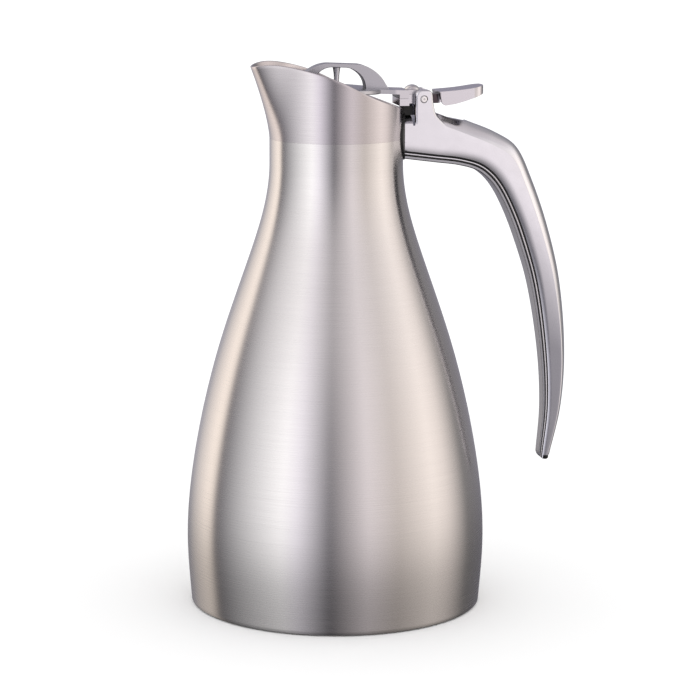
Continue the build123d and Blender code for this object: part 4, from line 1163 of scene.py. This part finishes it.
kept = {
    flask_steel: ("inner_liner", "flask_bottom", "mouth_ring", "stopper_stem", "stopper_cup",
                  "stopper_cover"),
    base_steel: ("base_plate", "tip_off_cover", "neck_lug"),
    polished_steel: ("set_screw", "post_nut"),
    black_rubber: ("handle_pad",), silicone: ("lid_gasket",),
    stopper_foam: ("stopper_insulation",), getter_alloy: ("getter",),
}
for material, names in kept.items():
    for slot_place in [place for name in names for place in nodes[name].material_slots]:
        slot_place.material = material
print("own pieces:", len(dressed), "kept solids:", sum(len(names) for names in kept.values()))

# %% [markdown]
# ## Camera
# A long lens from far away and a little above keeps the sides of the jug nearly upright and shows both
# the mouth and the foot. An empty could be tracked instead; here the camera is placed by its direction,
# its distance and the height that it aims at, so that every view is one set of numbers. A small sideways
# shift of the sensor frames jug and handle together without turning the camera.

# %% Camera
CAMERA_YAW, CAMERA_PITCH, CAMERA_ROLL = math.radians(10.5), math.radians(10.42), math.radians(-0.17)
CAMERA_DISTANCE, AIM_Z, LENS, SENSOR = 1244.5, 119.5, 136.23, 36.0
SHIFT_PX, PICTURE_PX = 14.3, 700
right = Vector((math.cos(CAMERA_YAW), -math.sin(CAMERA_YAW), 0))
level = math.cos(CAMERA_PITCH)
ahead = Vector((math.sin(CAMERA_YAW) * level, math.cos(CAMERA_YAW) * level, -math.sin(CAMERA_PITCH)))
up = right.cross(ahead)
across = right * math.cos(CAMERA_ROLL) - up * math.sin(CAMERA_ROLL)
over = up * math.cos(CAMERA_ROLL) + right * math.sin(CAMERA_ROLL)
lens = bpy.data.cameras.new("camera")
lens.lens, lens.sensor_width, lens.shift_x = LENS, SENSOR, SHIFT_PX / PICTURE_PX
camera = placed_in_scene("camera", lens)
stand = Vector((0, 0, AIM_Z * MM)) - ahead * CAMERA_DISTANCE * MM
camera.matrix_world = Matrix.Translation(stand) @ Matrix((across, over, -ahead)).transposed().to_4x4()
bpy.context.scene.camera = camera
print("camera", CAMERA_DISTANCE, "mm from the jug's axis")

# %% [markdown]
# ## Studio
# Steel shows what stands round it. So the studio is a ring of soft panels and dark gaps, written as a ramp
# over the compass direction in the world's shader. Real lamps and cards would do too, but a ramp takes
# one entry per panel, and a panel's edge in it is where a band on the jug ends.

# %% Panels
# Compass direction in degrees to the right of the camera, and the tone of what hangs there.
PANELS = [(-180, "#76737e"), (-155, "#918f93"), (-120, "#eee3d8"), (-113, "#e6dbd0"), (-106, "#555358"),
          (-42, "#ffffff"), (-30, "#eeebf2"), (-4, "#605e63"), (26, "#d8d1d2"), (50, "#c0b8b2"),
          (84, "#f1e8e0"), (98, "#dfd6cf"), (124, "#72706f"), (158, "#6c6a70"), (180, "#76737e")]
world = bpy.data.worlds.new("studio")
bpy.context.scene.world = world
world.use_nodes = True
studio = world.node_tree
studio.nodes.clear()
gaze = add(studio, "ShaderNodeTexCoord").outputs["Generated"]
height = add(studio, "ShaderNodeSeparateXYZ", links={0: gaze}).outputs["Z"]
towards = (-math.sin(CAMERA_YAW), -math.cos(CAMERA_YAW), 0)
sideways, forward = (add(studio, "ShaderNodeVectorMath", {"operation": "DOT_PRODUCT"}, {0: gaze}, _1=way)
                     for way in (tuple(right), towards))
compass = add(studio, "ShaderNodeMath", {"operation": "ARCTAN2"},
              {0: sideways.outputs["Value"], 1: forward.outputs["Value"]})
share = add(studio, "ShaderNodeMapRange", links={0: compass}, _1=-math.pi, _2=math.pi)
ramp = add(studio, "ShaderNodeValToRGB", links={"Fac": share})
stops = ramp.color_ramp.elements
while len(stops) < len(PANELS):
    stops.new(0.5)
# All places first and the colours after, because a stop that moves changes its place in the list.
for stop, (degrees, colour) in zip(stops, PANELS):
    stop.position = (degrees + 180) / 360
for stop, (degrees, colour) in zip(stops, PANELS):
    stop.color = linear(colour)
print("panels round the jug:", len(PANELS))

# %% [markdown]
# ## Hood and white surround
# A soft hood hangs over the front: higher up the panels give way to it, and below the table's level they
# dim. Only reflections should see all this, because the object stands free on white. A light path tells
# the rays apart, so the camera and matt surfaces get an even white, and the steel gets the studio.

# %% Hood and white surround
HOOD_LOW, HOOD_HIGH, WHITE_LEVEL = "#d5d1d1", "#8f888e", 1.16
# Each smooth change over the sine of the height: from, to, value before, value after. The last runs over
# how far one looks back towards the camera.
HOOD_RISE, HOOD_TONE, LOW_DIM = (0.05, 0.75, 0.0, 0.85), (0.45, 0.95, 0.0, 1.0), (-0.7, -0.2, 0.45, 1.9)
HOOD_OVER_FRONT = (-0.9, 0.1, 0.1, 1.0)
rise, top, dim, frontal = (
    add(studio, "ShaderNodeMapRange", {"interpolation_type": "SMOOTHSTEP"}, {0: source},
        _1=low, _2=high, _3=start, _4=end)
    for source, (low, high, start, end) in ((height, HOOD_RISE), (height, HOOD_TONE), (height, LOW_DIM),
                                            (forward.outputs["Value"], HOOD_OVER_FRONT)))
lift = add(studio, "ShaderNodeMath", {"operation": "MULTIPLY"}, {0: rise, 1: frontal})
hood = add(studio, "ShaderNodeMix", {"data_type": "RGBA"}, {0: top},
           _6=linear(HOOD_LOW), _7=linear(HOOD_HIGH))
panels = add(studio, "ShaderNodeMix", {"data_type": "RGBA"}, {0: lift, 6: ramp, 7: hood.outputs[2]})
around = add(studio, "ShaderNodeBackground", links={"Color": panels.outputs[2], "Strength": dim})
plain = add(studio, "ShaderNodeBackground", Strength=WHITE_LEVEL, Color=(1, 1, 1, 1))
sight = add(studio, "ShaderNodeLightPath")
seen = add(studio, "ShaderNodeMixShader", links={0: sight.outputs["Is Glossy Ray"], 1: plain, 2: around})
add(studio, "ShaderNodeOutputWorld", links={"Surface": seen})
print("nodes in the studio:", len(studio.nodes))

# %% [markdown]
# ## Table
# The table is a plain pale disc, which only has to catch the soft shadow at the foot. A white table would
# also show in the steel as a bright lower half. In reflections it is therefore a veil: clear far out, and
# a dimming of the panels close to the foot.

# %% Table
TABLE_R, TABLE_STEPS, VEIL_FROM, VEIL_TO, VEIL_TINT = 470.0, 128, 0.14, 0.45, 0.55
floor_paint = grained("matt_white_table", "#fafafa", 0.0, 0.9, 2.0, 0.02, Specular_IOR_Level=0.0)
turns = [2 * math.pi * k / TABLE_STEPS for k in range(TABLE_STEPS)]
floor_disc = made("table_top", [(TABLE_R * math.cos(t), TABLE_R * math.sin(t), 0) for t in turns],
                  [list(range(TABLE_STEPS))])
table = floor_paint.node_tree
spot = add(table, "ShaderNodeTexCoord")
away = add(table, "ShaderNodeVectorMath", {"operation": "LENGTH"}, {0: spot.outputs["Object"]})
tint = add(table, "ShaderNodeMapRange", links={0: away.outputs["Value"]},
           _1=VEIL_FROM, _2=VEIL_TO, _3=VEIL_TINT, _4=1.0)
veil = add(table, "ShaderNodeBsdfTransparent", links={"Color": tint})
sight = add(table, "ShaderNodeLightPath")
either = add(table, "ShaderNodeMixShader",
             links={0: sight.outputs["Is Glossy Ray"], 1: table.nodes["Principled BSDF"], 2: veil})
table.links.new(either.outputs[0], table.nodes["Material Output"].inputs["Surface"])
put(floor_disc, floor_paint)
floor_disc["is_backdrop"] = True
bpy.context.scene.view_settings.view_transform = "Standard"
print("table is", 2 * TABLE_R, "mm across")

# %% [markdown]
# ## Last look
# The finished pieces must stay in the box of the solids, because others place the jug by that box.

# %% Size and finish
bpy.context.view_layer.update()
for label, box in (("CAD box", cad_box), ("visual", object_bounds())):
    print(label, [tuple(round(c, 4) for c in corner) for corner in box])
